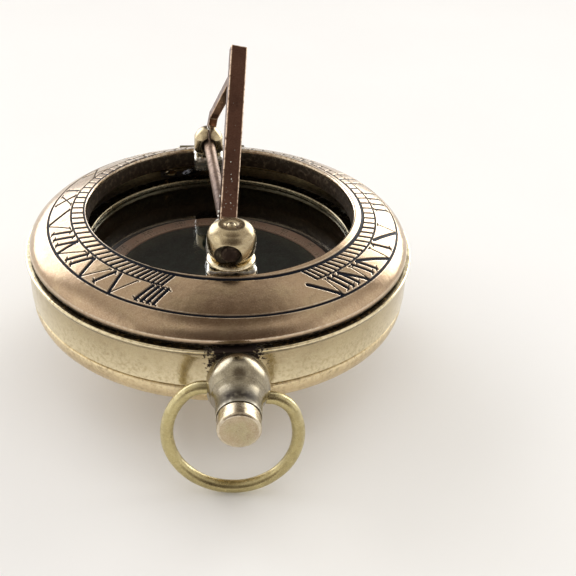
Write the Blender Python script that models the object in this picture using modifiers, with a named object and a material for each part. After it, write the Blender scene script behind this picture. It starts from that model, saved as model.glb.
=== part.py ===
"""Push-button pocket sundial with a floating-card compass, antiqued brass.

Frame: metres, +Z up, origin at the centre of the case's flat underside.
-Y points to the pendant and push button (6 o'clock), +Y to the lid hinge;
left is -X, right is +X, south is -Y and north is +Y.
All sizes are in millimetres and are multiplied by MM where geometry is made.
"""

import math

import bmesh
import bpy
from mathutils import Vector

MM = 0.001

# ---------------------------------------------------------------- case
CASE_R = 24.85            # outer radius of the side band
LIP_R = 25.15             # thin lip at the top of the band
BAND_IN_R = 23.75         # bore of the band
BAND_TOP = 8.00           # seat of the lid
BAND_BOTTOM = 2.52        # joint line between band and back
BACK_R = 24.75
CASE_STEPS = 56           # facets round the large turned parts
RIVET_X, RIVET_Y = -6.40, 20.90   # rivet of the lid's lift spring
RIVET_BORE_R = 0.50
LIFT_SPRING_WIDTH = 1.40

# ---------------------------------------------------------------- compass
BOWL_IN_R = 17.60
BOWL_OUT_R = 18.30
GLASS_R = 18.20
GLASS_BOTTOM = 6.65
GLASS_TOP = 7.40
WINDOW_R = 17.20          # inner edge of the ring that holds the glass
CARD_R = 15.90
CARD_RING_IN_R = 14.40
CARD_RING_OUT_R = 16.30
MAGNET_HALF = (1.70, 11.00)   # half width in X, half length in Y
COMPASS_STEPS = 48

# ---------------------------------------------------------------- lid and hinge
OPEN_R = 17.15            # opening in the dial ring
LID_TOP = 12.96
HINGE_Y = 26.30
HINGE_Z = 8.30
HINGE_HALF = 5.00         # half width of the case leaf
HINGE_GAP_HALF = 2.15     # half of the gap between its two knuckles
LID_LEAF_HALF = 2.00      # half width of the lid's leaf and knuckle
LEAF_Y = (25.22, 25.86)   # inner and outer face of the case leaf
KNUCKLE_R = 0.95
HINGE_PIN_R = 0.40
HINGE_BORE_R = 0.45

# ---------------------------------------------------------------- lid catch
GUIDE_HALF = 2.95         # half width of the guide channel
GUIDE_Y = (-22.30, -19.90)
CHEEK_THICK = 0.55
LEAF_SPRING_R = (19.75, 19.50)   # outer and inner face
LEAF_SPRING_HEIGHT = 1.60
LATCH_Y = -22.10          # outer face of the slide
CATCH_HALF = 2.00         # half width of both catch noses

# ---------------------------------------------------------------- gnomon
POST_Y = 14.50            # distance of both posts from the centre
SOUTH_X = 0.33            # axis of the south post
NORTH_X = -1.05           # axis of the north post, crossed by the fold axis
FOLD_SOUTH_X = 0.04       # the fold axis passes a little left of the south post's axis
AXIS_Z = 15.30            # height of the fold axis
FOLD_TURN = math.atan2(FOLD_SOUTH_X - NORTH_X, 2.0 * POST_Y)   # fold axis against Y
FOOT_BOTTOM = 11.50       # underside of both post feet
FOOT_BORE_R = 0.86
ROD_R = 0.75
ROD_BORE_R = 0.81
LEAN = math.radians(10.0)     # the gnomon leans to the right
STYLE_ANGLE = math.radians(45.0)
STYLE_WIDTH = 2.02
STYLE_THICK = 1.35
# stations along the rod, +Y to the north, from the centre of the fold axis
STYLE_FOOT_Y = -12.00     # where the style's centre line meets the fold axis
STYLE_BACK_Y = -11.25     # south end, clear of the south post head
APEX_Y = 4.90
LEG_TOP_Y = 4.00          # where the leg's outer edge meets the style
LEG_FOOT_Y = (16.80, 18.20)   # the leg stands on the rod beyond the north post
LEG_KNEE = 2.90           # height at which the leg bends towards the style
LEG_X = 0.50              # the leg sits a little to the right
LEG_WIDTH = 1.20          # across, in X
LEG_THICK = 1.20          # in height
SOLDER_GAP = 0.05

# ---------------------------------------------------------------- pendant
PEND_X = 0.34             # the pendant sits a little to the right
PEND_Z = 5.60
PEND_YAW = math.radians(-3.2)   # and a little askew
BALL_Y = -28.00
BALL_R = 3.58
NECK_Y = 2.70             # outer face of the neck, behind the centre of the ball
MOUTH = 5.40              # how far the ball's mouth reaches towards the button
BUTTON_R = 2.33
BUTTON_BORE_R = 2.38
BUTTON_END = -35.42
STEM_R = 0.92
STEM_BORE_R = 1.00
COILS = 5                 # turns of the button's return spring
COIL_STEPS = 12           # points in each turn
COIL_R = 1.36
COIL_START = -1.72
COIL_LENGTH = 2.95
COIL_WIRE_R = 0.15

# ---------------------------------------------------------------- bow
BORE_AT = (0.0, -0.35, -0.70)   # the side bores, from the centre of the ball
BORE_TURN = (0.0, math.radians(10.0), math.radians(-3.0))   # not quite level or square
BOW_R = 7.33              # centre line of the bow's ring
BOW_X = 0.48              # the loose bow sits a little to the right
BOW_WIRE_R = 0.74
BOW_DROP = 5.45           # from the pivot to the centre of the ring
BOW_TILT = math.radians(7.0)
BOW_END_X = (2.80, 3.40)  # straight ends of the wire, inside the bores
BOW_EXIT_X = 3.86         # where the ring starts beside the ball
BOW_STEPS = 36
BOW_FLAT = 0.95           # scale of the flattening at the top of the ring
FLAT_FROM = 4.00          # height above the ring's centre where flattening starts
FLAT_SPAN = 2.57          # rise over which it grows to BOW_FLAT

ALONG_Y = (math.radians(90.0), 0.0, 0.0)        # local +Z to -Y; outlines lie in XZ
ALONG_X = (0.0, math.radians(90.0), 0.0)        # local +Z points to +X
OUTLINE_YZ = (math.radians(90.0), 0.0, math.radians(90.0))   # outline x to Y, y to Z


def finish_of(color, roughness, metallic=1.0):
    return {"color": color, "roughness": roughness, "metallic": metallic}


FINISHES = {
    "band_brass": finish_of(color=(0.66, 0.55, 0.34), roughness=0.30),
    "dial_brass": finish_of(color=(0.50, 0.36, 0.24), roughness=0.28),
    "bright_brass": finish_of(color=(0.70, 0.60, 0.40), roughness=0.20),
    "olive_brass": finish_of(color=(0.52, 0.45, 0.22), roughness=0.35),
    "inner_brass": finish_of(color=(0.30, 0.24, 0.15), roughness=0.45),
    "copper": finish_of(color=(0.60, 0.43, 0.33), roughness=0.30),
    "dark_bronze": finish_of(color=(0.24, 0.14, 0.10), roughness=0.45),
    "spring_steel": finish_of(color=(0.45, 0.45, 0.47), roughness=0.35),
    "black_card": finish_of(color=(0.015, 0.020, 0.018), roughness=0.60, metallic=0.0),
}


# =====================================================================
# scene and helpers
# =====================================================================
for old in list(bpy.data.objects):
    bpy.data.objects.remove(old, do_unlink=True)

parts = bpy.data.collections.new("pocket_sundial")
cutters = bpy.data.collections.new("cutters")
bpy.context.scene.collection.children.link(parts)
bpy.context.scene.collection.children.link(cutters)


def material(name, color, roughness, metallic, alpha=1.0, transmission=0.0):
    mat = bpy.data.materials.new(name)
    mat.use_nodes = True
    inputs = mat.node_tree.nodes["Principled BSDF"].inputs
    inputs["Base Color"].default_value = (*color, 1.0)
    inputs["Roughness"].default_value = roughness
    inputs["Metallic"].default_value = metallic
    inputs["Alpha"].default_value = alpha
    inputs["Transmission Weight"].default_value = transmission
    return mat


def dress(obj, finish):
    """Give a piece its own material in one of the finishes."""
    obj.data.materials.append(material(obj.name + "_mat", **FINISHES[finish]))


def place(obj, location=(0, 0, 0), rotation=(0, 0, 0), parent=None):
    obj.location = Vector(location) * MM
    obj.rotation_euler = rotation
    obj.parent = parent


def anchor(name, **pose):
    """An empty that carries the pieces of one body or sets a local frame."""
    empty = bpy.data.objects.new(name, None)
    empty.empty_display_size = 0.004
    place(empty, **pose)
    bpy.context.scene.collection.objects.link(empty)
    return empty


def turned(name, profile, steps, finish, closed=False, **pose):
    """A lathe-turned piece: an (r, z) profile swept round local Z.

    The profile starts at the top and runs down the outer side."""
    mesh = bpy.data.meshes.new(name)
    points = [(r * MM, 0.0, z * MM) for r, z in profile]
    edges = [(i, i + 1) for i in range(len(points) - 1)]
    if closed:
        edges.append((len(points) - 1, 0))
    mesh.from_pydata(points, edges, [])
    obj = bpy.data.objects.new(name, mesh)
    parts.objects.link(obj)
    screw = obj.modifiers.new("turn", "SCREW")
    screw.axis = "Z"
    screw.angle = 2.0 * math.pi
    screw.steps = steps
    screw.render_steps = steps
    screw.use_merge_vertices = True
    screw.merge_threshold = 0.000005
    screw.use_smooth_shade = True
    place(obj, **pose)
    if finish:
        dress(obj, finish)
    return obj


def claim_new(name, collection, pose):
    """Name, file and place the primitive that was just added."""
    obj = bpy.context.active_object
    obj.name = name
    obj.data.name = name
    for holder in list(obj.users_collection):
        holder.objects.unlink(obj)
    collection.objects.link(obj)
    place(obj, **pose)
    return obj


def box(name, low, high, collection, pose):
    bpy.ops.mesh.primitive_cube_add(size=1.0)
    obj = claim_new(name, collection, pose)
    low, high = Vector(low) * MM, Vector(high) * MM
    for vertex in obj.data.vertices:
        vertex.co = vertex.co * (high - low) if False else Vector(
            [c * size for c, size in zip(vertex.co, high - low)]) + (low + high) / 2.0
    return obj


def block(name, low, high, finish, bevel=0.0, **pose):
    """A rectangular bar between two corners, edges optionally broken."""
    obj = box(name, low, high, parts, pose)
    if bevel:
        edge = obj.modifiers.new("edge", "BEVEL")
        edge.width = bevel * MM
        edge.segments = 1
        edge.limit_method = "ANGLE"
    dress(obj, finish)
    return obj


def block_tool(name, low, high, **pose):
    return box(name, low, high, cutters, pose)


def round_tool(name, radius, length, facets=24, **pose):
    """A cylinder about local Z, centred on its origin."""
    bpy.ops.mesh.primitive_cylinder_add(vertices=facets, radius=radius * MM, depth=length * MM)
    obj = claim_new(name, cutters, pose)
    obj.data.shade_smooth()
    obj.data.set_sharp_from_angle(angle=math.radians(35.0))
    return obj


def cut(obj, *tools, operation="DIFFERENCE"):
    for tool in tools:
        tool.hide_render = True
        tool.display_type = "WIRE"
        boolean = obj.modifiers.new(operation.lower() + "_" + tool.name, "BOOLEAN")
        boolean.operation = operation
        boolean.object = tool
        boolean.solver = "EXACT"


def fuse(obj, *tools):
    cut(obj, *tools, operation="UNION")


def curve_piece(name, dimensions, points, finish, pose):
    """A curve object with one poly spline through (x, y, z) points."""
    curve = bpy.data.curves.new(name, "CURVE")
    curve.dimensions = dimensions
    line = curve.splines.new("POLY")
    line.points.add(len(points) - 1)
    for point, (x, y, z) in zip(line.points, points):
        point.co = (x * MM, y * MM, z * MM, 1.0)
    obj = bpy.data.objects.new(name, curve)
    parts.objects.link(obj)
    place(obj, **pose)
    dress(obj, finish)
    return obj


def plate(name, outline, thickness, finish, **pose):
    """A flat outline (local XY) extruded to both sides of its plane."""
    obj = curve_piece(name, "2D", [(x, y, 0.0) for x, y in outline], finish, pose)
    obj.data.fill_mode = "BOTH"
    obj.data.extrude = thickness * MM / 2.0
    obj.data.splines[0].use_cyclic_u = True
    return obj


def wire(name, points, radius, resolution, finish, **pose):
    """Round wire along a list of points, with filled ends."""
    obj = curve_piece(name, "3D", points, finish, pose)
    obj.data.bevel_depth = radius * MM
    obj.data.bevel_resolution = resolution
    obj.data.use_fill_caps = True
    obj.data.splines[0].use_smooth = True


def solid_of(obj):
    """Turn a curve object into a welded, unparented mesh of the same name and place."""
    bpy.context.view_layer.update()
    name = obj.name
    matrix = obj.matrix_world.copy()
    materials = list(obj.data.materials)
    depsgraph = bpy.context.evaluated_depsgraph_get()
    mesh = bpy.data.meshes.new_from_object(obj.evaluated_get(depsgraph))
    weld = bmesh.new()
    weld.from_mesh(mesh)
    bmesh.ops.remove_doubles(weld, verts=weld.verts, dist=1e-7)
    bmesh.ops.recalc_face_normals(weld, faces=weld.faces)
    weld.to_mesh(mesh)
    weld.free()
    bpy.data.objects.remove(obj, do_unlink=True)
    solid = bpy.data.objects.new(name, mesh)
    mesh.materials.clear()
    for mat in materials:
        mesh.materials.append(mat)
    parts.objects.link(solid)
    solid.matrix_world = matrix
    return solid


def polar(radius, degrees):
    angle = math.radians(degrees)
    return radius * math.cos(angle), radius * math.sin(angle)


# =====================================================================
# case: back, band and cover
# =====================================================================
def build_case_back(case):
    """Pressed back: flat foot, rolled edge, spigot that snaps into the band."""
    profile = [
        (0.0, 0.50), (22.4, 0.50), (22.9, 0.90), (22.9, 3.60), (23.6, 3.60), (23.6, 2.44),
        (24.60, 2.44), (BACK_R, 2.30), (24.70, 1.25), (24.45, 0.50), (24.00, 0.10),
        (23.45, 0.0), (0.0, 0.0)]
    turned("case_back", profile, CASE_STEPS, "band_brass", parent=case)


def build_case_band(case):
    profile = [
        (BAND_IN_R, BAND_TOP), (LIP_R - 0.12, BAND_TOP), (LIP_R, BAND_TOP - 0.12),
        (LIP_R, BAND_TOP - 0.34), (24.93, 7.42), (CASE_R, 7.00), (CASE_R, 2.80),
        (24.62, BAND_BOTTOM), (BAND_IN_R, BAND_BOTTOM)]
    return turned("case_band", profile, CASE_STEPS, "band_brass", closed=True, parent=case)


def build_rim_cover(case):
    """Annular plate that hides the works between compass and band."""
    profile = [(19.10, 6.90), (23.65, 6.90), (23.65, 6.40), (19.10, 6.40)]
    cover = turned("rim_cover_plate", profile, CASE_STEPS, "inner_brass",
                   closed=True, parent=case)
    cut(cover,
        block_tool("latch_slot", (-2.7, -24.5, 6.0), (2.7, -20.1, 7.3), parent=case),
        round_tool("rivet_bore", RIVET_BORE_R, 2.0, facets=16,
                   location=(RIVET_X, RIVET_Y, 6.6), parent=case))


# =====================================================================
# compass housing
# =====================================================================
def build_compass_bowl(case):
    profile = [
        (0.0, 0.85), (17.3, 0.85), (BOWL_IN_R, 1.15), (BOWL_IN_R, 6.60), (BOWL_OUT_R, 6.60),
        (BOWL_OUT_R, 0.95), (17.9, 0.55), (0.0, 0.55)]
    turned("compass_bowl", profile, COMPASS_STEPS, "inner_brass", parent=case)


def build_compass_glass(case):
    profile = [
        (0.0, GLASS_TOP), (GLASS_R - 0.15, GLASS_TOP), (GLASS_R, GLASS_TOP - 0.15),
        (GLASS_R, GLASS_BOTTOM), (0.0, GLASS_BOTTOM)]
    glass = turned("compass_glass", profile, COMPASS_STEPS, None, parent=case)
    glass.data.materials.append(material(
        "compass_glass_clear", color=(0.95, 0.97, 0.96), roughness=0.03, metallic=0.0,
        alpha=0.35, transmission=0.9))


def build_retaining_ring(case):
    """Ring that holds the glass down on the bowl."""
    profile = [
        (WINDOW_R, 7.85), (WINDOW_R + 0.15, BAND_TOP), (18.85, BAND_TOP), (19.00, 7.85),
        (19.00, 5.60), (18.38, 5.60), (18.38, 7.46), (WINDOW_R, 7.46)]
    turned("glass_retaining_ring", profile, COMPASS_STEPS, "bright_brass",
           closed=True, parent=case)


def build_compass_pivot(case):
    """Point that carries the floating card."""
    profile = [
        (0.0, 2.66), (0.10, 2.50), (0.22, 1.90), (0.35, 1.25), (0.75, 1.25), (0.75, 0.88),
        (0.0, 0.88)]
    turned("compass_pivot", profile, 16, "spring_steel", parent=case)


# =====================================================================
# hinge and lift spring
# =====================================================================
def build_case_hinge_leaf(case):
    inner, outer = LEAF_Y
    leaf = block("case_hinge_leaf", (-HINGE_HALF, inner, 5.00), (HINGE_HALF, outer, 7.10),
                 "band_brass", parent=case)
    for side, left, right in (("left", -HINGE_HALF, -HINGE_GAP_HALF),
                              ("right", HINGE_GAP_HALF, HINGE_HALF)):
        fuse(leaf,
             block_tool("leaf_web_" + side, (left, inner, 7.00), (right, outer, HINGE_Z),
                        parent=case),
             round_tool("leaf_knuckle_" + side, KNUCKLE_R, right - left, rotation=ALONG_X,
                        location=((left + right) / 2, HINGE_Y, HINGE_Z), parent=case))
    cut(leaf, round_tool("case_hinge_bore", HINGE_BORE_R, 12.0, rotation=ALONG_X,
                         location=(0, HINGE_Y, HINGE_Z), parent=case))


def build_hinge_pin(case):
    head = [(0.0, 5.45), (0.55, 5.40), (0.68, 5.20), (0.68, 5.05), (HINGE_PIN_R, 5.05)]
    profile = head + [(r, -z) for r, z in reversed(head)]
    turned("hinge_pin", profile, 20, "bright_brass",
           location=(0, HINGE_Y, HINGE_Z), rotation=ALONG_X, parent=case)


def build_lift_spring():
    """Riveted leaf that pushes the lid up when the catch lets go."""
    outline = [   # (x, z)
        (-8.0, 6.94), (-4.6, 6.94), (-3.9, 7.16), (2.0, 10.05), (1.9, 10.27),
        (-4.0, 7.40), (-4.7, 7.18), (-8.0, 7.18)]
    leaf = solid_of(plate("lid_lift_spring", outline, LIFT_SPRING_WIDTH, "spring_steel",
                          location=(0, RIVET_Y, 0), rotation=ALONG_Y))
    cut(leaf, round_tool("spring_bore", RIVET_BORE_R, 2.0, facets=16,
                         location=(RIVET_X, RIVET_Y, 7.0)))


def build_lift_spring_rivet(case):
    profile = [
        (0.0, 7.72), (0.45, 7.66), (0.80, 7.42), (0.86, 7.22), (0.45, 7.22), (0.45, 6.10),
        (0.0, 6.10)]
    turned("lift_spring_rivet", profile, 16, "bright_brass",
           location=(RIVET_X, RIVET_Y, 0), parent=case)


# =====================================================================
# pendant, bow and push button
# =====================================================================
def build_pendant_neck(pendant, band):
    """Flanged neck, and the bore it needs through the band."""
    profile = [
        (STEM_BORE_R, 0.0), (1.70, 0.0), (1.80, -0.10), (1.80, -0.30), (1.60, -0.30),
        (1.60, -1.60), (STEM_BORE_R, -1.60)]
    turned("pendant_neck", profile, 24, "copper", closed=True,
           location=(0, NECK_Y, 0), rotation=ALONG_Y, parent=pendant)
    cut(band, round_tool("pendant_bore", 1.66, 3.0, location=(0, NECK_Y + 1.1, 0),
                         rotation=ALONG_Y, parent=pendant))


def build_pendant_ball(pendant):
    """Hollow ball with a mouth for the button and side bores for the bow."""
    mouth = [
        (BUTTON_BORE_R, MOUTH), (2.44, MOUTH), (2.47, 4.90), (2.50, 4.30), (2.54, 3.70),
        (2.62, 3.10), (2.76, 2.55)]
    sphere = [polar(BALL_R, latitude) for latitude in (32, 18, 5, -8, -21, -34, -46)]
    inside = [
        (2.18, -2.56), (STEM_BORE_R, -2.56), (STEM_BORE_R, -2.00), (1.75, -2.00),
        (1.75, 1.50), (BUTTON_BORE_R, 1.50)]
    ball = turned("pendant_ball", mouth + sphere + inside, 28, "bright_brass",
                  closed=True, rotation=ALONG_Y, parent=pendant)
    bores = anchor("bow_bore_anchor", location=BORE_AT, rotation=BORE_TURN, parent=pendant)
    # each side has a through bore and a wider, shallow spot face
    for kind, radius, length, reach in (("bore", 0.80, 1.60, 3.10), ("spot", 1.08, 1.00, 3.62)):
        for side, x in (("left", -reach), ("right", reach)):
            cut(ball, round_tool(f"bow_{kind}_{side}", radius, length, facets=20,
                                 location=(x, 0, 0), rotation=ALONG_X, parent=bores))


def build_return_spring(pendant):
    """Spring of the button, wound round the stem inside the ball."""
    helix = []
    count = COILS * COIL_STEPS
    for i in range(count + 1):
        x, y = polar(COIL_R, 360.0 * i / COIL_STEPS)
        helix.append((x, y, COIL_START + COIL_LENGTH * i / count))
    wire("button_return_spring", helix, COIL_WIRE_R, 0, "spring_steel",
         rotation=ALONG_Y, parent=pendant)


def build_bow(pendant):
    """Wire ring that swings in the two side bores of the ball."""
    pivot = anchor("bow_pivot_anchor", location=BORE_AT, rotation=BORE_TURN, parent=pendant)
    bow = anchor("bow_anchor", rotation=(-BOW_TILT, 0, 0), parent=pivot)
    inner, outer = BOW_END_X
    # from the right bore, clockwise round the bottom, to the left bore
    start = math.acos((BOW_EXIT_X - BOW_X) / BOW_R)
    stop = math.pi - math.acos((BOW_EXIT_X + BOW_X) / BOW_R)
    sweep = 2.0 * math.pi - stop + start
    path = [(inner, 0.0, 0.0), (outer, 0.0, 0.0)]
    for i in range(BOW_STEPS + 1):
        angle = start - sweep * i / BOW_STEPS
        height = BOW_R * math.sin(angle)
        if height > FLAT_FROM:
            height -= BOW_FLAT * ((height - FLAT_FROM) / FLAT_SPAN) ** 2
        path.append((BOW_X + BOW_R * math.cos(angle), 0.0, height - BOW_DROP))
    path += [(-outer, 0.0, 0.0), (-inner, 0.0, 0.0)]
    wire("bow_ring", path, BOW_WIRE_R, 2, "olive_brass", parent=bow)


def build_button(pendant):
    """Button, stem and the slotted clip at the stem's inner end."""
    button = anchor("button_anchor", rotation=ALONG_Y, parent=pendant)
    nose = BALL_Y - BUTTON_END
    cap = [
        (0.0, nose), (BUTTON_R - 0.22, nose), (BUTTON_R, nose - 0.18), (BUTTON_R, 2.76),
        (0.96, 2.76), (0.96, 3.60), (0.0, 3.60)]
    turned("push_button", cap, 28, "copper", parent=button)
    stem = [(0.0, 3.56), (STEM_R, 3.56), (STEM_R, -5.76), (0.0, -5.76)]
    turned("button_stem", stem, 20, "inner_brass", parent=button)
    ring = [(0.95, -5.25), (1.24, -5.25), (1.24, -5.52), (0.95, -5.52)]
    clip = turned("button_circlip", ring, 20, "spring_steel", closed=True, parent=button)
    cut(clip, block_tool("clip_gap", (-0.35, 0.4, -6.0), (0.35, 2.0, -5.0), parent=button))


# =====================================================================
# lid catch
# =====================================================================
def build_latch_guide(case):
    """Channel with a cheek on each side."""
    outer, inner = GUIDE_Y
    guide = block("latch_guide", (-GUIDE_HALF, outer, 0.56), (GUIDE_HALF, inner, 0.96),
                  "inner_brass", parent=case)
    for side, x in (("left", -GUIDE_HALF), ("right", GUIDE_HALF - CHEEK_THICK)):
        fuse(guide, block_tool("guide_cheek_" + side, (x, outer, 0.80),
                               (x + CHEEK_THICK, inner, 5.0), parent=case))


def build_latch_leaf_spring(case):
    """Curved leaf, 22 degrees to each side of -Y."""
    bearings = range(-112, -67, 4)
    outer, inner = LEAF_SPRING_R
    outline = [polar(outer, bearing) for bearing in bearings]
    outline += [polar(inner, bearing) for bearing in reversed(bearings)]
    plate("latch_leaf_spring", outline, LEAF_SPRING_HEIGHT, "spring_steel",
          location=(0, 0, 5.2), parent=case)


def build_latch_slide(case):
    """Slide that moves inwards with the button; its nose points outwards."""
    latch = anchor("latch_anchor", location=(0, LATCH_Y, PEND_Z), parent=case)
    top = 2.20
    slide = block("latch_slide", (-2.2, 0.0, -4.54), (2.2, 0.60, top), "spring_steel",
                  parent=latch)
    fuse(slide, block_tool("latch_nose", (-CATCH_HALF, -0.55, 1.80), (CATCH_HALF, 0.30, top),
                           parent=latch))


# =====================================================================
# floating compass card
# =====================================================================
def build_card(case):
    """Disc with a raised ring, a magnet beneath and a jewel cap on the pivot."""
    card = anchor("card_anchor", parent=case)
    disc = [(0.90, 1.60), (CARD_R, 1.60), (CARD_R, 1.45), (0.90, 1.45)]
    turned("card_disc", disc, COMPASS_STEPS, "black_card", closed=True, parent=card)
    ring = [
        (CARD_RING_IN_R, 1.95), (CARD_RING_OUT_R - 0.08, 1.95), (CARD_RING_OUT_R, 1.87),
        (CARD_RING_OUT_R, 1.64), (CARD_RING_IN_R, 1.64)]
    turned("card_ring", ring, COMPASS_STEPS, "copper", closed=True, parent=card)
    x, y = MAGNET_HALF
    magnet = block("card_magnet", (-x, -y, 1.02), (x, y, 1.40), "spring_steel", parent=card)
    cut(magnet, round_tool("magnet_bore", 1.0, 2.0, facets=20, location=(0, 0, 1.2),
                           parent=card))
    cap = [
        (0.0, 3.20), (0.62, 3.12), (1.0, 2.82), (1.12, 2.40), (1.15, 1.96), (1.80, 1.90),
        (1.80, 1.64), (0.76, 1.64), (0.70, 2.18), (0.0, 2.78)]
    turned("card_jewel_cap", cap, 20, "bright_brass", parent=card)


# =====================================================================
# dial lid
# =====================================================================
def in_lid(x, y, z):
    """A place in the case frame, seen from the lid's anchor on the hinge axis."""
    return (x, y - HINGE_Y, z - HINGE_Z)


CASE_IN_LID = in_lid(0, 0, 0)


def build_dial_ring(lid):
    profile = [
        (OPEN_R, 12.50), (OPEN_R + 0.08, 12.80), (OPEN_R + 0.30, LID_TOP), (19.40, 12.24),
        (21.00, 11.60), (22.40, 10.96), (23.30, 10.42), (24.00, 9.80), (24.42, 9.18),
        (24.56, 8.72), (24.52, 8.40), (24.30, 8.22), (23.90, 8.22), (23.82, 8.80),
        (23.30, 9.46), (22.00, 10.22), (18.40, 11.66), (17.90, 11.60), (17.85, 10.40),
        (OPEN_R, 10.40)]
    turned("dial_ring", profile, CASE_STEPS, "dial_brass", closed=True,
           location=CASE_IN_LID, parent=lid)


def build_lid_hinge_leaf(lid):
    leaf = block("lid_hinge_leaf", (-LID_LEAF_HALF, 24.72, 8.52), (LID_LEAF_HALF, 26.0, 9.12),
                 "band_brass", location=CASE_IN_LID, parent=lid)
    fuse(leaf, round_tool("lid_knuckle", KNUCKLE_R, 2 * LID_LEAF_HALF,
                          rotation=ALONG_X, parent=lid))
    cut(leaf, round_tool("lid_hinge_bore", HINGE_BORE_R, 6.0, rotation=ALONG_X, parent=lid))


def build_catch_lug(lid):
    """Lug whose nose points inwards."""
    bottom = 6.92
    lug = block("lid_catch_lug", (-CATCH_HALF, -23.50, bottom), (CATCH_HALF, -23.02, 9.02),
                "bright_brass", location=CASE_IN_LID, parent=lid)
    fuse(lug, block_tool("lug_nose", (-CATCH_HALF, -23.2, bottom), (CATCH_HALF, -22.72, 7.30),
                         location=CASE_IN_LID, parent=lid))


def build_post_foot(lid, side, x, y, half_width, y_range, top, bore_z):
    """Bevelled foot of a gnomon post, bored for the post's shank."""
    foot = block(side + "_post_foot", (x - half_width, y_range[0], FOOT_BOTTOM),
                 (x + half_width, y_range[1], top), "bright_brass", bevel=0.25,
                 location=CASE_IN_LID, parent=lid)
    cut(foot, round_tool(side + "_foot_bore", FOOT_BORE_R, 4.0, facets=20,
                         location=in_lid(x, y, bore_z), parent=lid))


def build_south_post(lid, fold):
    """Foot, washer and a domed head, bored across with a wider bore on its south face."""
    build_post_foot(lid, "south", SOUTH_X, -POST_Y, half_width=3.0,
                    y_range=(-16.75, -12.60), top=13.20, bore_z=12.4)
    axis = in_lid(SOUTH_X, -POST_Y, 0)
    washer = [
        (FOOT_BORE_R, 13.92), (2.45, 13.92), (2.80, 13.74), (2.88, 13.55), (2.80, 13.36),
        (2.50, 13.23), (FOOT_BORE_R, 13.23)]
    turned("south_post_washer", washer, 24, "bright_brass", closed=True,
           location=axis, parent=lid)
    profile = [
        (0.0, 18.20), (0.36, 18.16), (0.46, 17.99), (0.62, 17.97), (0.95, 18.08),
        (1.70, 18.00), (2.34, 17.66), (2.74, 17.05), (2.88, 16.35), (2.88, 15.40),
        (2.76, 14.75), (2.48, 14.25), (2.14, 13.96), (0.80, 13.96), (0.80, 11.80),
        (0.0, 11.80)]
    head = turned("south_post_head", profile, 28, "bright_brass", location=axis, parent=lid)
    cut(head,
        round_tool("south_bore", ROD_BORE_R, 8.0, facets=20, location=(0, -POST_Y, 0),
                   rotation=ALONG_Y, parent=fold),
        round_tool("south_counterbore", 1.55, 3.0, facets=28,
                   location=(-0.30, -POST_Y - 3.2, -0.05), rotation=ALONG_Y, parent=fold))


def build_north_post(lid, fold):
    """Foot and a domed head with cross bore, counterbore and a saw cut in its top."""
    build_post_foot(lid, "north", NORTH_X, POST_Y, half_width=2.15,
                    y_range=(12.30, 16.75), top=13.78, bore_z=12.6)
    profile = [
        (0.0, 17.45), (0.70, 17.40), (1.30, 17.08), (1.78, 16.50), (2.00, 15.90),
        (2.00, 14.30), (1.84, 13.95), (1.60, 13.83), (0.80, 13.83), (0.80, 12.00),
        (0.0, 12.00)]
    head = turned("north_post_head", profile, 28, "bright_brass",
                  location=in_lid(NORTH_X, POST_Y, 0), parent=lid)
    cut(head,
        round_tool("north_bore", ROD_BORE_R, 8.0, facets=20, location=(0, POST_Y, 0),
                   rotation=ALONG_Y, parent=fold),
        round_tool("north_counterbore", 1.15, 3.0, location=(0, POST_Y - 2.7, 0),
                   rotation=ALONG_Y, parent=fold),
        block_tool("north_saw_cut", (-0.20, POST_Y - 3.0, 0.3), (0.20, POST_Y + 3.0, 3.5),
                   parent=fold))


# =====================================================================
# gnomon: rod, style and back leg, folding sideways about the rod
# =====================================================================
RISE = math.tan(STYLE_ANGLE)
STYLE_HALF_HEIGHT = STYLE_THICK / 2.0 / math.cos(STYLE_ANGLE)   # half thickness, vertically
NORMAL_Y = -math.sin(STYLE_ANGLE) * STYLE_THICK / 2.0   # centre line to upper face
NORMAL_Z = math.cos(STYLE_ANGLE) * STYLE_THICK / 2.0
GNOMON_BASE = ROD_R + SOLDER_GAP   # foot of style and leg above the fold axis


def style_height(y):
    """Height of the style's centre line above the fold axis."""
    return (y - STYLE_FOOT_Y) * RISE


def build_rod(gnomon):
    """Rod with its head at the south end."""
    north_end = -LEG_FOOT_Y[1]
    profile = [
        (0.0, 16.90), (0.66, 16.86), (0.96, 16.70), (1.06, 16.48), (1.06, 16.24),
        (ROD_R, 16.24), (ROD_R, north_end), (ROD_R - 0.15, north_end - 0.15),
        (0.0, north_end - 0.15)]
    turned("gnomon_rod", profile, 20, "dark_bronze", rotation=ALONG_Y, parent=gnomon)


def build_style(gnomon):
    apex = style_height(APEX_Y)
    outline = [   # (y, z)
        (STYLE_BACK_Y, GNOMON_BASE),
        (STYLE_FOOT_Y + (GNOMON_BASE + STYLE_HALF_HEIGHT) / RISE, GNOMON_BASE),
        (APEX_Y - NORMAL_Y, apex - NORMAL_Z),
        (APEX_Y + NORMAL_Y, apex + NORMAL_Z),
        (STYLE_BACK_Y, style_height(STYLE_BACK_Y) + STYLE_HALF_HEIGHT)]
    plate("gnomon_style_bar", outline, STYLE_WIDTH, "dark_bronze",
          rotation=OUTLINE_YZ, parent=gnomon)


def meet_style(start, direction):
    """Where a leg edge meets the underside of the style, less a hair of solder."""
    underside = style_height(start.x) - STYLE_HALF_HEIGHT - SOLDER_GAP
    travel = (underside - start.y) / (direction.y - RISE * direction.x)
    return tuple(start + direction * travel)


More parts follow.
